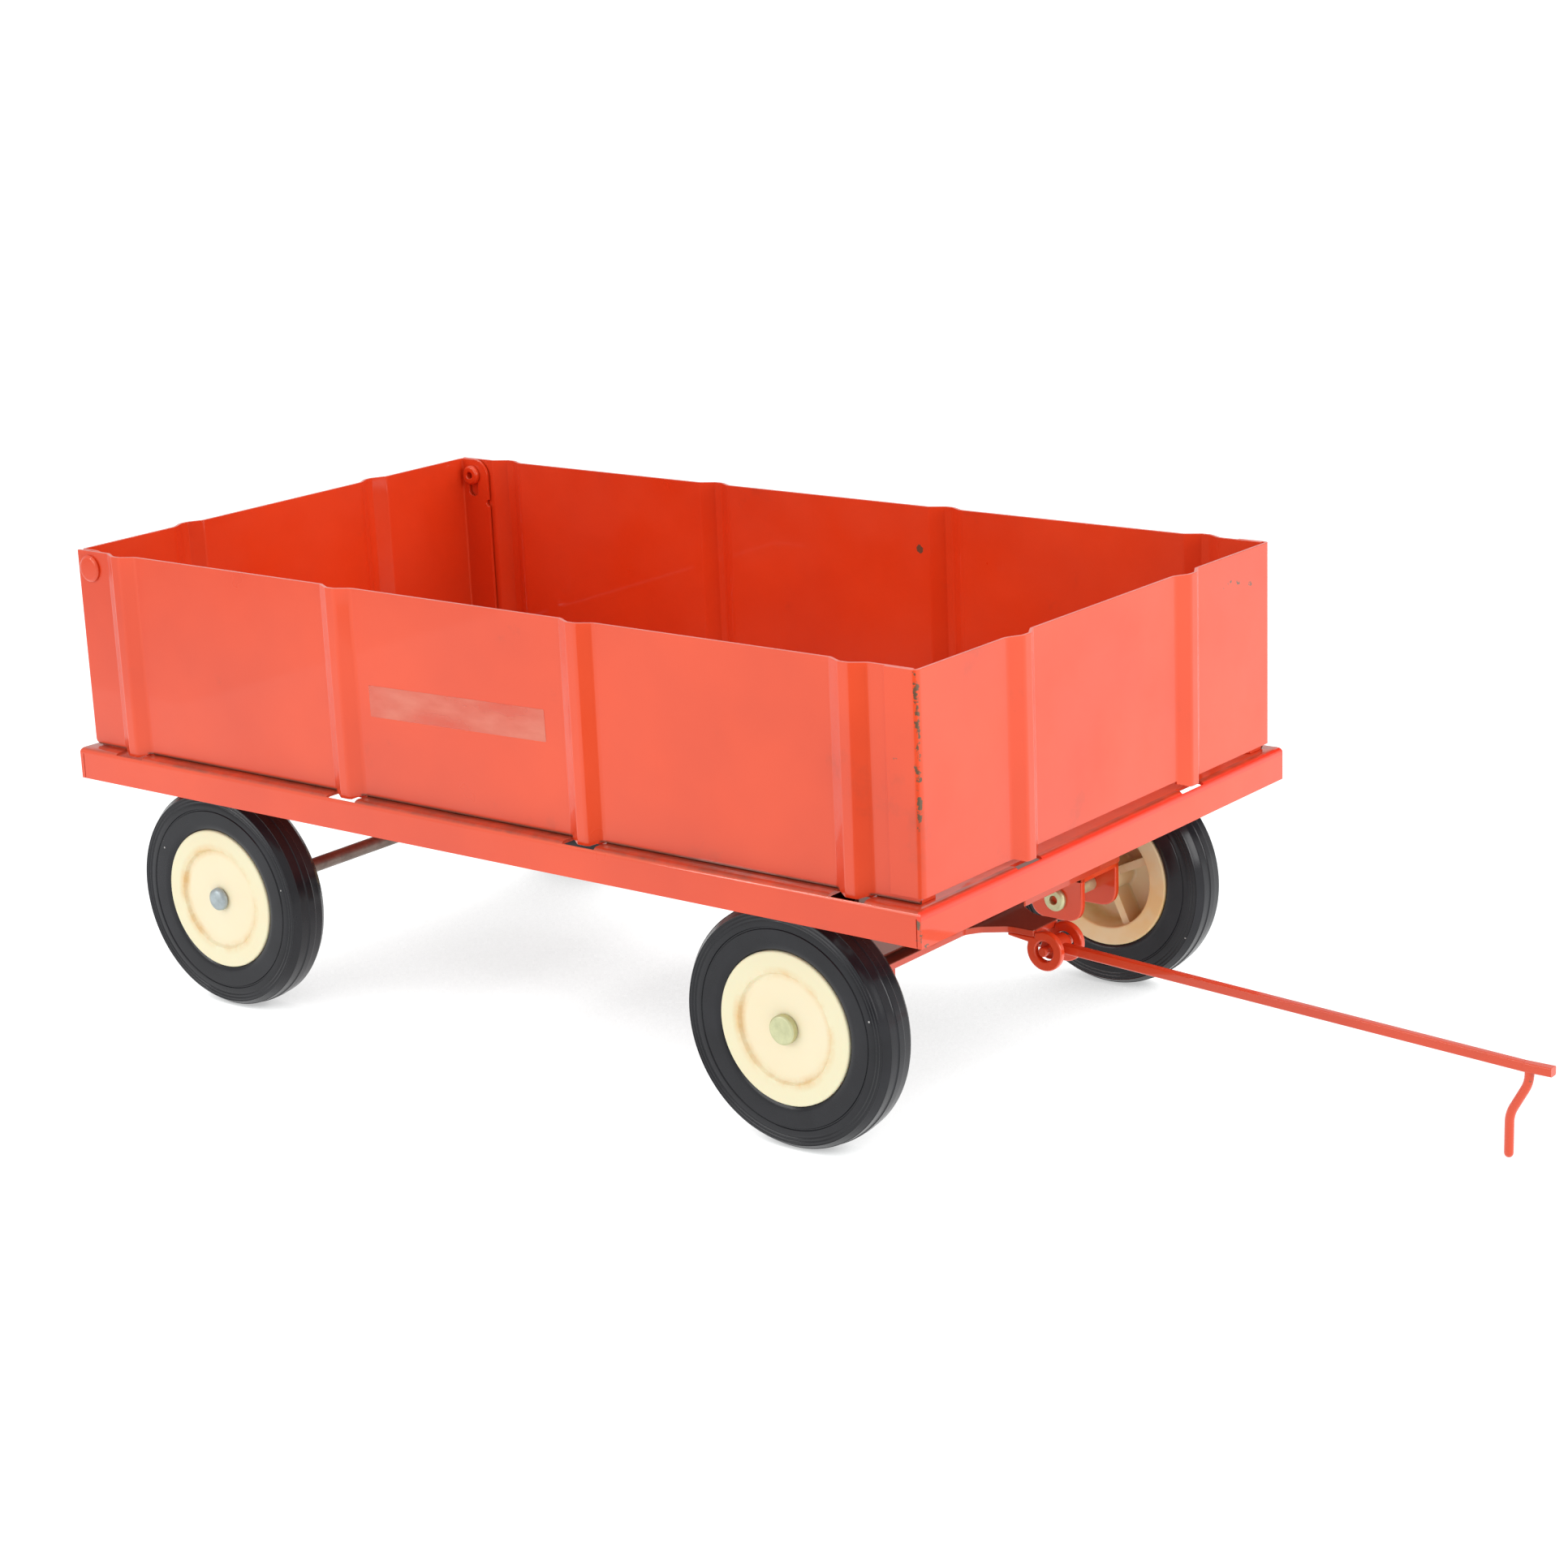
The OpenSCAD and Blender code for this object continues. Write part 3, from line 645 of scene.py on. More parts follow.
CORNER_X = FRONT_X - 0.3
CORNER_CHIPS = [
    ((CORNER_X, -BOX_Y + 0.2, z), 1.5, (1, 1, 0.16), 0.62)
    for z in (99.5, 92.5, 84.5, 77.0)
]
FRONT_CHIPS = CORNER_CHIPS + [
    ((FRONT_X, y, z), 1.7, (1, 0.8, 1.4), 0.6)
    for y, z in ((45.5, 97.6), (48.5, 98.2), (52.0, 97.8), (56.8, 96.4))
] + [((FRONT_X - 6.0, -BOX_Y, 86.3), 1.1, (0.5, 1, 1.6), 0.6)]
SIDE_CHIPS = [((FRONT_X - 19.5, -SIDE_Y - 2, TOP_Z), 2.2, (1, 1, 1), 0.55)]
INNER_CHIPS = [((BED_CX + 26.5, SIDE_Y - SHEET, 93.8), 1.4, (1, 1, 0.7), 0.9)]
BED_CHIPS = [
    ((BED_HI.x - 0.6, -BED_HI.y, DECK_Z - 4.5), 2.0, (1.3, 1.3, 0.35), 0.62),
    ((BED_HI.x, -BED_HI.y + 1.5, SKIRT_Z), 1.6, (1, 1, 1), 0.6),
]
BAR_CHIPS = [((PIN_X, 0, DRAWBAR_LO.z - 1.2), 2.6, (1, 1, 0.8), 0.55)]

# This enamel and the left wall's carry a painted shadow line along the walls' feet.
ENAMEL = enamel("enamel_panel", SIDE_CHIPS, dirt_and_shade=foot_shadow_line)
ENAMEL_FRONT = enamel("enamel_front", FRONT_CHIPS)
ENAMEL_INSIDE = enamel("enamel_left", INNER_CHIPS, dirt_and_shade=foot_shadow_line)
# The bed's enamel: dirt and painted shade on its rim outside the walls, and a painted reflection on its front
# bend.
ENAMEL_BED = enamel("enamel_bed", BED_CHIPS, dirt_and_shade=ledge_dirt_and_shade, bend_reflection=front_bend_reflection)
# Painted shade for the rear hanger under the bed.
ENAMEL_UNDER_SHADED = enamel("enamel_under_shaded", depth=0.6)
# Painted shade for the beam, darkest on its top face in the bed's shadow.
ENAMEL_BEAM_SHADED = enamel("enamel_beam_shaded", depth=0.45, dirt_and_shade=beam_top_shadow)
# Painted shade for the bolster: the paint darkened almost wholly to a deep shadow colour.
ENAMEL_DEEP_SHADOW = enamel("enamel_deep_shadow", depth=0.92, shade=(0.09, 0.016, 0.011, 1))
# Painted shade for the drawbar: its paint darkened a little.
ENAMEL_BAR = enamel("enamel_bar", BAR_CHIPS, depth=0.25)
RUBBER = rubber()
CREAM = cream_plastic()
ZINC = plated("zinc_plate", (0.64, 0.64, 0.39, 1), (0.50, 0.51, 0.31, 1), 0.25)
STEEL = plated("axle_steel", (0.27, 0.21, 0.18, 1), (0.17, 0.13, 0.11, 1), 0.2)
CAP_STEEL = plated("cap_steel", (0.46, 0.52, 0.54, 1), (0.32, 0.36, 0.37, 1), 0.15)
FILM = film()


# ---- box -----------------------------------------------------------------

def ribbed_line(start, end, ribs):
    """(along, outward) points of a wall with rounded ribs."""
    corners, radii = [(start, 0.0)], [0]
    for centre in ribs:
        corners += rib_corners(centre)
        radii += RIB_RADII
    return rounded(corners + [(end, 0.0)], radii + [0], steps=7)


def wall_low(outward, share=RIB_FOOT):
    """Height of a wall's lower edge: the ribs' feet reach down into the bed's notches."""
    return FOOT_Z if outward > share * RIB_DEPTH else WALL_Z


def side_wall_part():
    """The right-hand wall and its floor flanges."""
    line = ribbed_line(REAR_X, WALL_HI.x, SIDE_RIBS)
    path = arc_start([Vector((p.x, -SIDE_Y - p.y)) for p in line], WALL_CORNER)

    def low(x, y):
        reach = x - REAR_X
        if reach < WALL_CORNER:
            return WALL_Z + WALL_CORNER - math.sqrt(max(WALL_CORNER ** 2 - (WALL_CORNER - reach) ** 2, 0))
        return wall_low(-SIDE_Y - y)

    parts = [folded_wall(path, low, lambda x, y: TOP_Z)]
    edges = [GATE_HI.x + 1] + [c + s * RIB_BASE / 2 for c in SIDE_RIBS for s in (-1, 1)] + [WALL_HI.x]
    parts += [floor_flange(a, b) for a, b in zip(edges[0::2], edges[1::2]) if b - a > 1]
    return joined(parts)


def arc_start(path, length):
    """Extra points at a path's start, so that a rounded corner there is smooth."""
    step = (path[1] - path[0]).normalized()
    fine = [path[0] + step * length * (1 - math.cos(math.radians(a))) for a in range(15, 91, 15)]
    return path[:1] + fine + path[1:]


def floor_flange(a, b):
    """An inward flange along the floor, set back a little behind the wall's lower edge."""
    setback = 0.35
    y, z = -SIDE_Y + setback, DECK_Z
    outline = rounded(rectangle(y, z, y + WALL_FLANGE, z + SHEET), 0.2, closed=True, steps=4)
    verts, faces = prism(outline, a, b)
    return [Vector((v.z, v.x, v.y)) for v in verts], faces


def make_side_walls():
    part = side_wall_part()
    new_piece("wall_right", part, ENAMEL, "bed", SHEET_EDGE, ["side_wall_right"])
    part = moved(part, MIRROR_Y)
    new_piece("wall_left", part, ENAMEL_INSIDE, "bed", SHEET_EDGE, ["side_wall_left"])


def front_low(x, y):
    """Lower edge of the front wall: feet at the ribs, and a higher cut between them."""
    if x - FRONT_X > RIB_FOOT * RIB_DEPTH:
        return FRONT_LO.z
    middle = abs(y) < END_RIBS[1] - RIB_BASE / 2
    return DECK_Z + FRONT_GAP + (MIDDLE_RISE if middle else 0.0)


def make_front_wall():
    wrap_x = FRONT_LO.x
    corners, radii = [(wrap_x, -BOX_Y), (FRONT_X, -BOX_Y)], [0, 1.5]
    for centre in END_RIBS:
        corners += [(FRONT_X + v, u) for u, v in rib_corners(centre)]
        radii += reversed(RIB_RADII)
    corners += [(FRONT_X, BOX_Y), (wrap_x, BOX_Y)]
    radii += [1.5, 0]
    path = rounded(corners, radii, steps=8)
    part = folded_wall(path, front_low, lambda x, y: TOP_Z)
    new_piece("wall_front", part, ENAMEL_FRONT, "bed", SHEET_EDGE, ["front_wall"])


def tailgate_path(flange_x, corner):
    """The gate seen from above: left flange, ribbed panel, right flange."""
    corners, radii = [(flange_x, GATE_Y), (REAR_X, GATE_Y)], [0, WALL_CORNER]
    for centre in reversed(END_RIBS):
        corners += [(REAR_X - v, 2 * centre - u) for u, v in rib_corners(centre)]
        radii += RIB_RADII
    corners += [(REAR_X, -GATE_Y), (flange_x, -GATE_Y)]
    radii += [WALL_CORNER, 0]
    path = rounded(corners, radii, steps=8)
    fine = [flange_x - corner * (1 - math.sin(math.radians(a))) for a in range(0, 91, 10)]
    ends = [Vector((x, GATE_Y)) for x in reversed(fine)]
    return ends + path[1:-1] + [Vector((p.x, -GATE_Y)) for p in reversed(ends)]


def make_tailgate():
    """The gate, with a hinge slot and a small nick in each flange."""
    flange_x = GATE_HI.x
    corner = 4.2
    flange_foot = DECK_Z + 1.7
    slot_r, slot_drop = 1.58, 4

    def low(x, y):
        return flange_foot if x > REAR_X + 1.5 else wall_low(REAR_X - x, 0.9)

    def high(x, y):
        reach = x - (flange_x - corner)
        if reach > 0:
            return TOP_Z - corner + math.sqrt(max(corner ** 2 - reach ** 2, 0))
        return TOP_Z

    gate = raw_object("gate", folded_wall(tailgate_path(flange_x, corner), low, high))
    slot = arc(HINGE.x, HINGE.z, slot_r, 0, 180, 16) + arc(HINGE.x, HINGE.z - slot_drop, slot_r, 180, 360, 16)
    nick = circle(flange_x, HINGE.z - 7, 0.8, 24)
    carve(gate, [upright(outline, -80, 80) for outline in (slot, nick)])
    dress(gate, ENAMEL, "tailgate", 0.14, ["tailgate"])


def make_gate_rivets():
    """Flat head outside the wall, hollow clinched ring inside the gate's flange."""
    head_r, head_t = 3.1, 0.8
    shank_r, ring_r, bore_r = 1.5, 2.45, 0.9
    inside = GATE_Y - SHEET - 0.15
    profile = rounded(
        [(bore_r, inside - 1.1), (1.1, inside - 1.2), (2.0, inside - 1.2), (ring_r, inside - 0.7),
         (ring_r, inside), (shank_r, inside), (shank_r, SIDE_Y), (head_r, SIDE_Y), (head_r, SIDE_Y + 0.45),
         (head_r - 0.5, SIDE_Y + head_t), (0.01, SIDE_Y + head_t), (0.01, inside + 1.5),
         (bore_r, inside + 1.5)],
        [0.1, 0.1, 0.3, 0.4, 0.1, 0, 0, 0.1, 0.2, 0.5, 0, 0, 0], closed=True, steps=4)
    rivet = lathe(profile, 64)
    for word, side in SIDES:
        part = crosswise(rivet, HINGE.x, HINGE.z, side)
        new_piece("gate_rivet_" + word, part, ENAMEL, "bed", 0.0, ["tailgate_rivets"])


def make_labels():
    """A blank clear film on each side wall, where the photograph has a transfer."""
    length, height, tilt = 50.5, 6.9, 1.2
    outline = rounded(rectangle(-length / 2, -height / 2, length / 2, height / 2), 0.4, closed=True, steps=3)
    part = upright(outline, 0.02, 0.06)
    for word, side in SIDES:
        node = "label_" + word
        low, high = box_mm(node)
        middle = (low + high) / 2
        place = at(middle.x, -SIDE_Y - 0.07, middle.z) @ turn("Y", -tilt)
        place = MIRROR_Y @ place if side == LEFT else place
        new_piece("transfer_" + word, moved(part, place), FILM, "bed", 0.0, [node])


# ---- bed -----------------------------------------------------------------
# The bed is laid out as one surface about its own middle, and then given its thickness.

HALF_L = (BED_HI.x - BED_LO.x) / 2
HALF_W = BED_HI.y
NOTCH = (RIB_BASE + RIB_CREST) / 4 + 1.4  # half of a notch's length
NOTCH_Z = DECK_Z - 0.5
FIELD_X, FIELD_Y = HALF_L - 8.5, HALF_W - 9.2
FIELD_RAMP = 0.8
FRONT_IN = BED_HI.x - FRONT_X + SHEET
SIDE_IN = HALF_W - SIDE_Y + SHEET
REAR_IN = 0.8


class Surface:
    """Faces that share the corners they have in common."""

    def __init__(self):
        self.verts, self.faces, self.index = [], [], {}

    def corner(self, x, y, z):
        key = (round(x, 4), round(y, 4), round(z, 4))
        if key not in self.index:
            self.index[key] = len(self.verts)
            self.verts.append(Vector((x + BED_CX, y, z)))
        return self.index[key]


def bed_stations():
    """Where the surface is divided along X and along Y: bends, notches and the raised field."""
    xs = {-HALF_L + BEND_R, HALF_L - BEND_R, HALF_L - FRONT_IN}
    xs |= {s * (FIELD_X - d) for s in (-1, 1) for d in (0, FIELD_RAMP)}
    xs |= {c - BED_CX + s * NOTCH for c in SIDE_RIBS for s in (-1, 1)}
    across = (HALF_W - BEND_R, HALF_W - SIDE_IN, FIELD_Y, FIELD_Y - FIELD_RAMP)
    ys = {s * v for s in (-1, 1) for v in across}
    ys |= {c + s * NOTCH for c in END_RIBS for s in (-1, 1)}
    return sorted(xs), sorted(ys)


def in_notch(x, y):
    """Whether a place is in a side or front notch; the rear ones are cut afterwards."""
    on_side = abs(y) > HALF_W - SIDE_IN and any(abs(x + BED_CX - c) < NOTCH for c in SIDE_RIBS)
    return on_side or (x > HALF_L - FRONT_IN and any(abs(y - c) < NOTCH for c in END_RIBS))


def deck_level(x, y):
    inside = abs(x) < FIELD_X - FIELD_RAMP / 2 and abs(y) < FIELD_Y - FIELD_RAMP / 2
    return DECK_Z + (DECK_RISE if inside else 0.0)


def lay_deck(sheet, xs, ys):
    """The deck with its raised field, open at the notches."""
    for x0, x1 in zip(xs, xs[1:]):
        for y0, y1 in zip(ys, ys[1:]):
            if not in_notch((x0 + x1) / 2, (y0 + y1) / 2):
                corners = rectangle(x0, y0, x1, y1)
                sheet.faces.append([sheet.corner(x, y, deck_level(x, y)) for x, y in corners])


def bend_rows():
    """(outward, height) of the lines along a turned-down edge, from the deck to the skirt's foot."""
    stop = math.degrees(math.acos((NOTCH_Z - DECK_Z + BEND_R) / BEND_R))
    angles = [math.radians(a) for a in (0, 18, 36, stop, 72, 90)]
    rows = [(BEND_R * math.sin(a), DECK_Z - BEND_R + BEND_R * math.cos(a)) for a in angles]
    return rows + [(BEND_R, z) for z in (DECK_Z - 4, SKIRT_Z)]


def lay_skirt(sheet, stations, along_x, side):
    """The bend and the skirt along one edge."""
    reach, far = (HALF_W, HALF_L) if along_x else (HALF_L, HALF_W)
    rows = bend_rows()
    for (d0, z0), (d1, z1) in zip(rows, rows[1:]):
        for a, b in zip(stations, stations[1:]):
            mid, edge = (a + b) / 2, side * (reach - 0.1)
            if z1 > NOTCH_Z - 0.01 and in_notch(*((mid, edge) if along_x else (edge, mid))):
                continue
            ring = []
            for u, d, z in ((a, d0, z0), (b, d0, z0), (b, d1, z1), (a, d1, z1)):
                v = side * (reach - BEND_R + d)
                if abs(abs(u) - (far - BEND_R)) < 1e-6:
                    u = math.copysign(far - BEND_R + d, u)
                ring.append(sheet.corner(*((u, v, z) if along_x else (v, u, z))))
            sheet.faces.append(list(reversed(ring)) if (side > 0) == along_x else ring)


def corner_seams():
    """Cutters for the closed seam at each corner of the skirt."""
    half, inset = 0.11, 1.1
    foot, top = SKIRT_Z - 1, DECK_Z - BEND_R - 0.2
    places = [(BED_CX + s * (HALF_L - inset), t * HALF_W) for s in (-1, 1) for t in (-1, 1)]
    return [prism(rectangle(x - half, y - 1, x + half, y + 1), foot, top) for x, y in places]


def rear_notches():
    """Cutters for the notches at the feet of the tailgate's ribs."""
    rear = BED_LO.x
    outlines = [rectangle(rear - 1, y - NOTCH, rear + REAR_IN, y + NOTCH) for y in END_RIBS]
    return [prism(outline, NOTCH_Z - 0.4, DECK_Z + 1) for outline in outlines]


def make_bed():
    xs, ys = bed_stations()
    sheet = Surface()
    lay_deck(sheet, xs, ys)
    for stations, along_x in ((xs, True), (ys, False)):
        for side in (-1, 1):
            lay_skirt(sheet, stations, along_x, side)
    tray = raw_object("tray", seamless(sheet.verts, sheet.faces))
    thicken(tray, SHEET)
    carve(tray, corner_seams() + rear_notches())
    dress(tray, ENAMEL_BED, "bed", 0.3, ["bed"])


def seamless(verts, faces):
    """The same surface with every face turned to agree with its neighbours, outward side up."""
    mesh = bpy.data.meshes.new("surface")
    mesh.from_pydata(verts, [], faces)
    work = bmesh.new()
    work.from_mesh(mesh)
    bmesh.ops.remove_doubles(work, verts=work.verts, dist=1e-4)
    bmesh.ops.recalc_face_normals(work, faces=work.faces)
    top = max(work.faces, key=lambda f: f.calc_area())
    if top.normal.z < 0:
        bmesh.ops.reverse_faces(work, faces=work.faces)
    work.verts.index_update()
    out = [v.co.copy() for v in work.verts], [[v.index for v in f.verts] for f in work.faces]
    work.free()
    bpy.data.meshes.remove(mesh)
    return out


# ---- underframe ----------------------------------------------------------

def channel(cx, low, high, y0, y1):
    """A channel hung on an axle: two ears, square above and rounded below, and the plate over them."""
    half, foot, r = (high.x - low.x) / 2, AXLE_Z - 4.8, 4.6
    ear = rounded(
        [(cx - half, high.z), (cx - half, foot), (cx + half, foot), (cx + half, high.z)],
        [0, r, r, 0], closed=True, steps=10)
    plate = rectangle(low.x, high.z - PLATE, high.x, high.z)
    return joined([upright(ear, y0, y0 + PLATE), upright(ear, y1 - PLATE, y1), upright(plate, y0, y1)])


def make_front_brackets():
    for word, side in SIDES:
        node = "axle_bracket_" + word
        low, high = box_mm(node)
        inner, outer = sorted((abs(low.y), abs(high.y)))
        part = channel(KING_X, low, high, inner, outer)
        part = moved(part, MIRROR_Y) if side == RIGHT else part
        new_piece("ears_" + word, part, ENAMEL, "front_axle", PLATE_EDGE, [node])


def fork_outline(x_back):
    """An ear of the fork in X and Z with its neck running back under the tongue."""
    r, tongue_end = 4.3, 2.38
    under = BEAM_TOP - PLATE - 0.02
    start = math.degrees(math.acos(-tongue_end / r))
    round_end = arc(TOW.x, TOW.z, r, start, -200, 40)
    neck = [Vector((x_back, under)), Vector((TOW.x - tongue_end, under))]
    return neck + round_end + [Vector((x_back, BEAM_TOP - 2.2))]


def make_front_beam():
    """The beam with its tongue, and the fork's two ears."""
    half, ear_y, fork_y = 7.6, 49.9, 4.6
    king_hole, tow_hole = 2.48, 2.2
    tow = TOW.x - KING_X
    outline = [
        (-half, -ear_y), (half, -ear_y), (half, -11), (half + 2, -8), (half + 7, -fork_y),
        (tow - 2.4, -fork_y), (tow - 2.4, fork_y), (half + 7, fork_y), (half + 2, 8), (half, 11),
        (half, ear_y), (-half, ear_y),
    ]
    radii = [1.5, 1.5, 3, 4, 5, 0.4, 0.4, 5, 4, 3, 1.5, 1.5]
    shape = [Vector((p.x + KING_X, p.y)) for p in rounded(outline, radii, closed=True, steps=8)]
    beam = raw_object("beam", prism(shape, BEAM_TOP - PLATE, BEAM_TOP))
    carve(beam, [prism(circle(KING_X, 0, king_hole), BEAM_TOP - 3, BEAM_TOP + 3)])
    dress(beam, ENAMEL_BEAM_SHADED, "front_axle", 0.3, ["front_beam"])
    for word, side in SIDES:
        ear = raw_object("fork_" + word, upright(fork_outline(TOW.x - 9), fork_y - PLATE, fork_y))
        carve(ear, [upright(circle(TOW.x, TOW.z, tow_hole), fork_y - 3, fork_y + 1)])
        if side == RIGHT:
            ear.data.transform(MIRROR_Y)
            ear.data.flip_normals()
        dress(ear, ENAMEL, "front_axle", 0.26)


def stub_profile(inner, out, head):
    """A tubular rivet from its clinched inner end to its flat head."""
    bore_r, ring_r, head_r = 1.0, 2.7, 3.1
    return rounded(
        [(bore_r, inner - 1.1), (1.15, inner - 1.2), (2.2, inner - 1.2), (ring_r, inner - 0.7),
         (ring_r, inner), (AXLE_R, inner), (AXLE_R, out), (head_r, out), (head_r, out + head - 0.3),
         (head_r - 0.3, out + head), (0.01, out + head), (0.01, inner + 2), (bore_r, inner + 2)],
        [0.1, 0.1, 0.3, 0.4, 0.1, 0, 0, 0.1, 0.15, 0.3, 0, 0, 0], closed=True, steps=4)


def make_stub_axles():
    clinch, head = 1.2, 1.6
    for word, side in SIDES:
        node = "stub_axle_" + word
        low, high = box_mm(node)
        inner, out = sorted((abs(low.y), abs(high.y)))
        rivet = lathe(stub_profile(inner + clinch, out - head, head), 64)
        part = crosswise(rivet, KING_X, AXLE_Z, side)
        new_piece("stub_rivet_" + word, part, ZINC, "front_axle", 0.0, [node])


def make_rear_axle():
    """The rod, and a domed cap of brighter steel on each end."""
    end = box_mm("rear_axle")[1].y
    rod = end - 1.7
    shaft = turned([(AXLE_R, -rod), (AXLE_R, -rod / 2), (AXLE_R, rod / 2), (AXLE_R, rod)], 48)
    shaft = crosswise(shaft, REAR_AXLE_X, AXLE_Z)
    new_piece("rear_rod", shaft, STEEL, "bed", 0.0, ["rear_axle"])
    dome = turned([(AXLE_R, rod - 0.4), (AXLE_R, rod), (2.4, rod + 0.05), (2.65, rod + 0.35),
                   (2.5, end - 0.55), (1.9, end - 0.18), (0.9, end)], 48)
    for word, side in SIDES:
        cap = crosswise(dome, REAR_AXLE_X, AXLE_Z, side)
        new_piece("rear_cap_" + word, cap, CAP_STEEL, "bed", 0.0, ["rear_axle"])


def make_rear_bracket():
    low, high = box_mm("rear_bracket")
    part = channel(REAR_AXLE_X, low, high, low.y, high.y)
    new_piece("rear_hanger", part, ENAMEL_UNDER_SHADED, "bed", PLATE_EDGE, ["rear_bracket"])


def make_bolster():
    """A hat-shaped channel between the deck and the front beam."""
    low, high = box_mm("front_bolster")
    t, half = 1.0, 6.3
    left, right = KING_X - half, KING_X + half
    outline = [
        (low.x, high.z - t), (left, high.z - t), (left, low.z), (right, low.z), (right, high.z - t),
        (high.x, high.z - t), (high.x, high.z), (right - t, high.z), (right - t, low.z + t),
        (left + t, low.z + t), (left + t, high.z), (low.x, high.z),
    ]
    radii = [0.2, 0.4, 1.4, 1.4, 0.4, 0.2, 0.2, 1.2, 0.5, 0.5, 1.2, 0.2]
    part = upright(rounded(outline, radii, closed=True, steps=4), low.y, high.y)
    new_piece("bolster", part, ENAMEL_DEEP_SHADOW, "bed", 0.12, ["front_bolster"])


def make_kingpin():
    """The kingpin with a head at each end, and its washer."""
    low, high = box_mm("kingpin")
    r, head = 2.4, 1.1
    wide = (high.x - low.x) / 2
    profile = [
        (wide - 1.2, low.z), (wide - 0.4, low.z + 0.15), (wide, low.z + 0.6), (wide, low.z + head),
        (r, low.z + head), (r, high.z - head), (wide, high.z - head), (wide, high.z - 0.5),
        (wide - 0.5, high.z - 0.1), (wide - 1.4, high.z),
    ]
    part = moved(turned(profile, 48), at(KING_X))
    new_piece("kingpin_rivet", part, ZINC, "bed", 0.0, ["kingpin"])
    low, high = box_mm("kingpin_washer")
    ring = rounded(rectangle(2.6, low.z, 6.0, high.z), 0.15, closed=True, steps=3)
    part = moved(lathe(ring, 48), at(KING_X))
    new_piece("washer", part, STEEL, "bed", 0.0, ["kingpin_washer"])


# ---- wheels --------------------------------------------------------------

WHEEL_H = 4.75  # half of a wheel's width
RIM_R = 16.2
TYRE_R = 25.75
SPIN = {"front_right": 12, "front_left": 20, "rear_right": -8, "rear_left": 35}


def rim_part():
    """Moulded rim about +Z, which points out of the wheel's face."""
    h = WHEEL_H
    bore, boss, pocket, seat = 1.78, 3.7, 12.0, 14.8
    face = h - 0.8
    web = face - 1.6
    profile = [
        (bore, -h - 3), (boss, -h - 3), (boss + 0.25, web), (pocket - 0.3, web), (pocket, -h), (RIM_R, -h),
        (RIM_R, -h + 1.2), (seat, -h + 1.2), (seat, h - 1.2), (RIM_R, h - 1.2), (RIM_R, h),
        (RIM_STEP + 0.25, h), (RIM_STEP - 0.25, face), (bore, face),
    ]
    radii = [0.2, 0.5, 0.8, 1.6, 0.5, 0.5, 0.2, 0, 0, 0.2, 0.55, 0.3, 0.3, 0.1]
    body = lathe(rounded(profile, radii, closed=True, steps=5), 144)
    spoke_w = 1.8
    spoke = rounded(
        [(boss - 0.3, -h + 1.2), (boss + 1.2, -h + 1.6), (pocket + 0.3, -h + 1.6), (pocket + 0.3, web + 0.2),
         (boss - 0.3, web + 0.2)], [0, 0.8, 0, 0, 0], closed=True, steps=4)
    spokes = [moved(upright(spoke, -spoke_w / 2, spoke_w / 2), turn("Z", a)) for a in (45, 135, 225, 315)]
    return joined([body] + spokes)


def tyre_part():
    """Rubber tyre about +Z: flat sidewalls with fine moulded rings, round shoulders, a banded tread."""
    h, r = WHEEL_H, TYRE_R
    groove = 0.22
    side = [(16.35, 0.5), (16.9, 0.16), (17.9, 0.0), (20.7, 0.0)]
    side += [(20.85, groove), (21.1, groove), (21.25, 0.0)]
    for k in range(3):
        ring = 22.3 + 0.75 * k
        side += [(ring, 0.02), (ring + 0.18, 0.18), (ring + 0.4, 0.2), (ring + 0.58, 0.04)]
    side += [(24.55, 0.35), (25.0, 0.9), (25.3, 1.55)]
    tread = [(25.45, 1.6), (25.5, 2.1), (25.52, 3.5), (25.6, 3.85), (r, 3.95)]
    outer = [(radius, h - depth) for radius, depth in side + tread]
    inner = [(radius, -height) for radius, height in reversed(outer)]
    seat = [(14.8, -h + 1.2), (14.8, h - 1.2), (16.3, h - 1.2)]
    return lathe(outer + inner + [(16.3, -h + 1.2)] + seat, 176)


def make_wheels():
    rim, tyre = rim_part(), tyre_part()
    for end, x in (("front", KING_X), ("rear", REAR_AXLE_X)):
        for word, side in SIDES:
            corner = end + "_" + word
            body = "wheel_" + corner
            place = at(x, side * WHEEL_Y, AXLE_Z) @ turn("X", -90 * side) @ turn("Z", SPIN[corner])
            new_piece("disc_" + corner, moved(rim, place), CREAM, body, 0.0, ["rim_" + corner])
            new_piece("rubber_" + corner, moved(tyre, place), RUBBER, body, 0.0, ["tyre_" + corner])


# ---- drawbar -------------------------------------------------------------

TIP_Z = TOW.z - 5.4


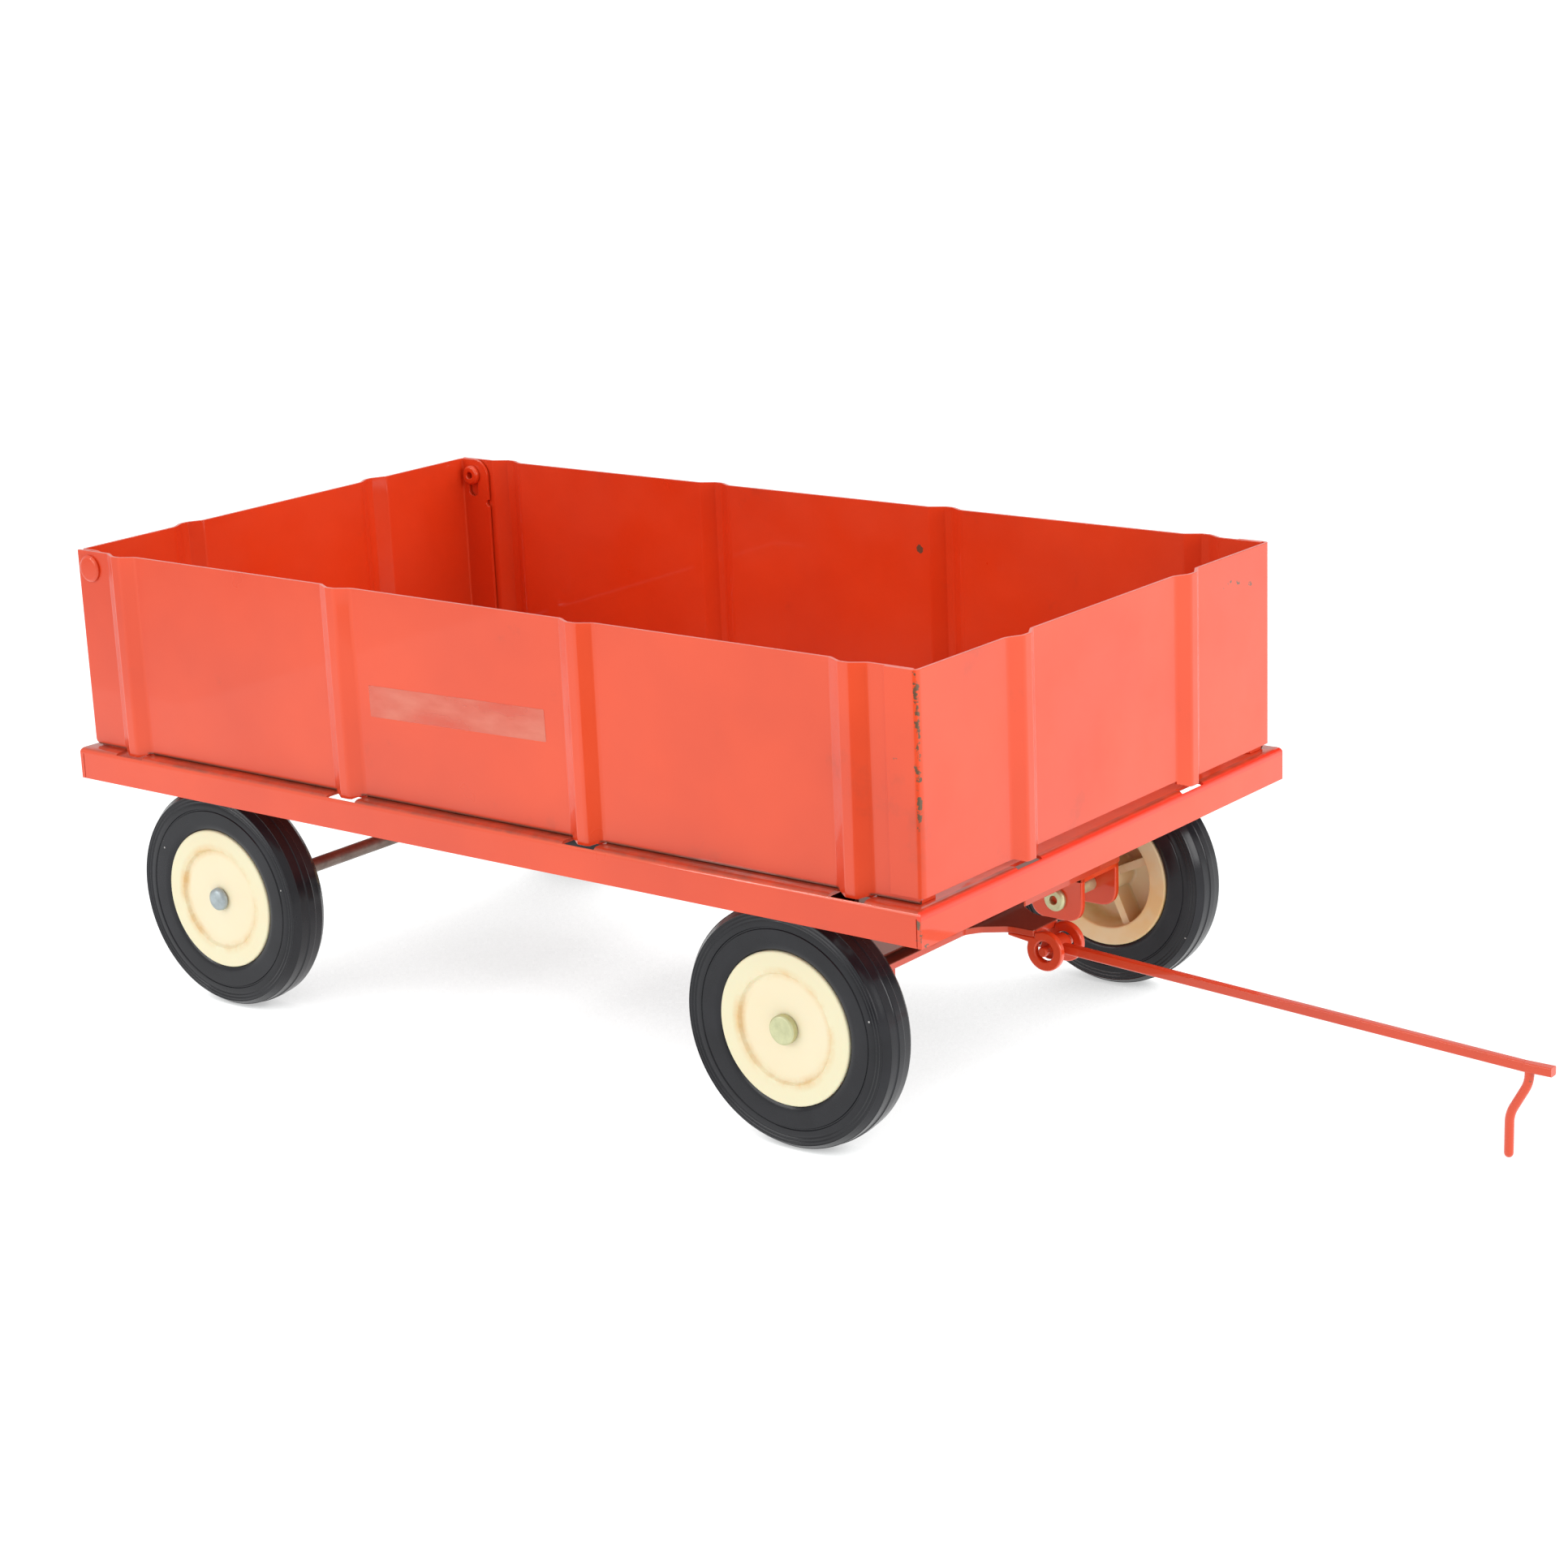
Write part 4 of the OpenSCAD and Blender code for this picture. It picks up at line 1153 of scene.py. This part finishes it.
def make_drawbar():
    """The bar with its heel, its hub and the cross pin that turns in the fork."""
    heel = [(TOW.x - 4.2, TOW.z + 0.3), (TOW.x - 2.6, TOW.z + 0.14)]
    line = heel + [(TOW.x, TOW.z), (PIN_X - 3, TIP_Z + 0.1), (PIN_X - 1, TIP_Z), (DRAWBAR_HI.x, TIP_Z)]
    path = subdivide(rounded(line, [0, 0, 0, 6, 2, 0], steps=6), 4.0)
    total = len(path) - 1

    def section(t):
        flat = max(0.0, min(1.0, (t * total - (total - 3)) / 2))
        return round_section(1.7 + 0.5 * flat, 2.1 - 0.2 * flat, 0.4)

    lug = rectangle(TOW.x - 5.1, TOW.z, TOW.x - 3, TOW.z + 2.7)
    lug = rounded(lug, [0.2, 0.2, 0.5, 0.5], closed=True, steps=4)
    hub = [(2.0, -2.8), (2.2, -2.6), (2.2, 2.6), (2.0, 2.8)]
    cross = [(0.85, -5.2), (1.05, -5.0), (1.05, 5.0), (0.85, 5.2)]
    parts = [
        sweep(path, section),
        upright(lug, -0.85, 0.85),
        crosswise(turned(hub, 40), TOW.x, TOW.z),
        crosswise(turned(cross, 32), TOW.x, TOW.z),
    ]
    new_piece("tow_bar", joined(parts), ENAMEL_BAR, "drawbar", 0.12, ["drawbar"])


def make_hitch_pin():
    """The bent pin under the bar's tip, with a rounded lower end."""
    pin_low, pin_high = box_mm("hitch_pin")
    r = 0.95
    foot_x, foot_z = PIN_X - 3.9, pin_low.z + r
    line = [(PIN_X, pin_high.z - 0.2), (PIN_X, TIP_Z - 3.2), (foot_x, foot_z + 8.0), (foot_x, foot_z)]
    path = subdivide(rounded(line, [0, 7, 7, 0], steps=10), 1.2)
    closing = [math.radians(a) for a in (30, 55, 75, 88)]
    path += [path[-1] + Vector((0, -r * math.sin(a))) for a in closing]
    scale = [math.cos(a) for a in closing]
    total = len(path) - 1

    def section(t):
        k = round(t * total) - (total - 3)
        size = r * (scale[k] if k >= 0 else 1.0)
        return circle(0, 0, size, 24)

    new_piece("hook", sweep(path, section), ENAMEL_BAR, "drawbar", 0.0, ["hitch_pin"])


# ---- stage, light and camera ---------------------------------------------

def flat_sheet(name, corners):
    """A four-cornered sheet in metres, which isn't part of the object."""
    mesh = bpy.data.meshes.new(name)
    mesh.from_pydata(corners, [], [[0, 1, 2, 3]])
    sheet = bpy.data.objects.new(name, mesh)
    bpy.context.scene.collection.objects.link(sheet)
    return sheet


def make_stage():
    """White paper that gives its own light, so that the red box can't tint it.

    Its soft shadow is drawn where little of the sky is open above it.
    """
    size = 25.0
    floor = flat_sheet("floor", [(x, y, 0) for x, y in rectangle(-size, -size, size, size)])
    s = Shader("floor_paper", Roughness=0.9, Specular_IOR_Level=0.0, Emission_Strength=1.2)
    s.colour(s.mix(s.noise(3), (0.04, 0.06, 0.06, 1), (0.05, 0.07, 0.07, 1)))
    open_sky = s.tree.nodes.new("ShaderNodeAmbientOcclusion")
    open_sky.samples = 16
    open_sky.inputs["Distance"].default_value = 0.1
    light = s.ramp(open_sky.outputs["AO"], 0.1, 0.42)
    s.link(s.mix(light, (0.40, 0.40, 0.40, 1), (1, 1, 1, 1)), s.bsdf.inputs["Emission Color"])
    floor.data.materials.append(s.material)


def dark_card(name, centre, across, along, fade):
    """A dark sheet seen only in reflections, where the studio's white paper ends: it deepens the paint.

    fade gives the x at which the sheet is dark and the x at which it has become as bright as the paper.
    """
    centre, across, along = Vector(centre), Vector(across) / 2, Vector(along) / 2
    corners = [centre + s * across + t * along for s, t in rectangle(-1, -1, 1, 1)]
    card = flat_sheet(name, corners)
    s = Shader(name + "_cloth", Roughness=1.0, Emission_Strength=1.0)
    s.colour(s.mix(s.noise(9), (0.02, 0.02, 0.02, 1), (0.03, 0.03, 0.03, 1)))
    x, _, _ = s.axes()
    s.link(s.mix(s.ramp(x, *fade), (0, 0, 0, 1), (0.95, 0.95, 0.95, 1)), s.bsdf.inputs["Emission Color"])
    card.data.materials.append(s.material)
    card.visible_camera = False
    card.visible_diffuse = False
    card.visible_shadow = False


def make_dark_cards():
    dark_card("card_near", (0.2, -0.36, 0.002), (0.4, 0, 0), (0, 0.3, 0), (0.03, 0.0))
    dark_card("card_rear", (-0.75, -0.55, 0.002), (0.8, 0, 0), (0, 0.6, 0), (-0.75, -0.37))
    dark_card("card_back", (0.42, 0.95, 0.6), (0.9, 0, 0), (0, -0.25, 0.5), (2.0, 3.0))


def area_light(name, place, target, size, power):
    light = bpy.data.lights.new(name, "AREA")
    light.shape = "RECTANGLE"
    light.size, light.size_y = size
    light.energy = power
    lamp = bpy.data.objects.new(name, light)
    lamp.location = place
    lamp.rotation_euler = (Vector(target) - Vector(place)).to_track_quat("-Z", "Y").to_euler()
    bpy.context.scene.collection.objects.link(lamp)
    return lamp


def make_lights():
    world = bpy.data.worlds.new("studio")
    bpy.context.scene.world = world
    world.use_nodes = True
    world.node_tree.nodes["Background"].inputs["Color"].default_value = (1, 1, 1, 1)
    world.node_tree.nodes["Background"].inputs["Strength"].default_value = 0.8
    middle = (0, 0, 0.05)
    area_light("top_light", (0.1, 0.0, 1.3), middle, (1.4, 1.4), 4)
    area_light("key_light", (-0.5, -1.3, 0.55), middle, (0.9, 0.6), 5)
    area_light("front_light", (1.35, 0.1, 0.5), middle, (0.9, 0.6), 9)
    area_light("rim_light", (0.6, 1.0, 1.0), middle, (0.8, 0.06), 1.5)
    area_light("strip_light", (-0.75, -1.0, 0.75), middle, (0.05, 0.9), 1.2)
    bpy.context.scene.view_settings.view_transform = "Standard"


def make_camera():
    """Camera at the photograph's place: heading, tilt and roll in degrees."""
    heading, tilt, roll = 38.608, -15.81, -2.4075
    camera = bpy.data.cameras.new("camera")
    camera.lens = 75.57
    camera.sensor_width = 36
    camera.clip_start = 0.01
    eye = bpy.data.objects.new("camera", camera)
    eye.location = (468.2364 * MM + BED_CX * MM, -543.6842 * MM, 250.9531 * MM)
    aim = Matrix.Rotation(math.radians(heading), 4, "Z") @ Matrix.Rotation(math.radians(90 + tilt), 4, "X")
    eye.matrix_world = Matrix.Translation(eye.location) @ aim @ Matrix.Rotation(math.radians(roll), 4, "Z")
    bpy.context.scene.collection.objects.link(eye)
    bpy.context.scene.camera = eye


make_camera()
make_stage()
make_dark_cards()
make_lights()
make_bed()
make_side_walls()
make_front_wall()
make_tailgate()
make_gate_rivets()
make_labels()
make_bolster()
make_kingpin()
make_front_beam()
make_front_brackets()
make_stub_axles()
make_rear_bracket()
make_rear_axle()
make_wheels()
make_drawbar()
make_hitch_pin()
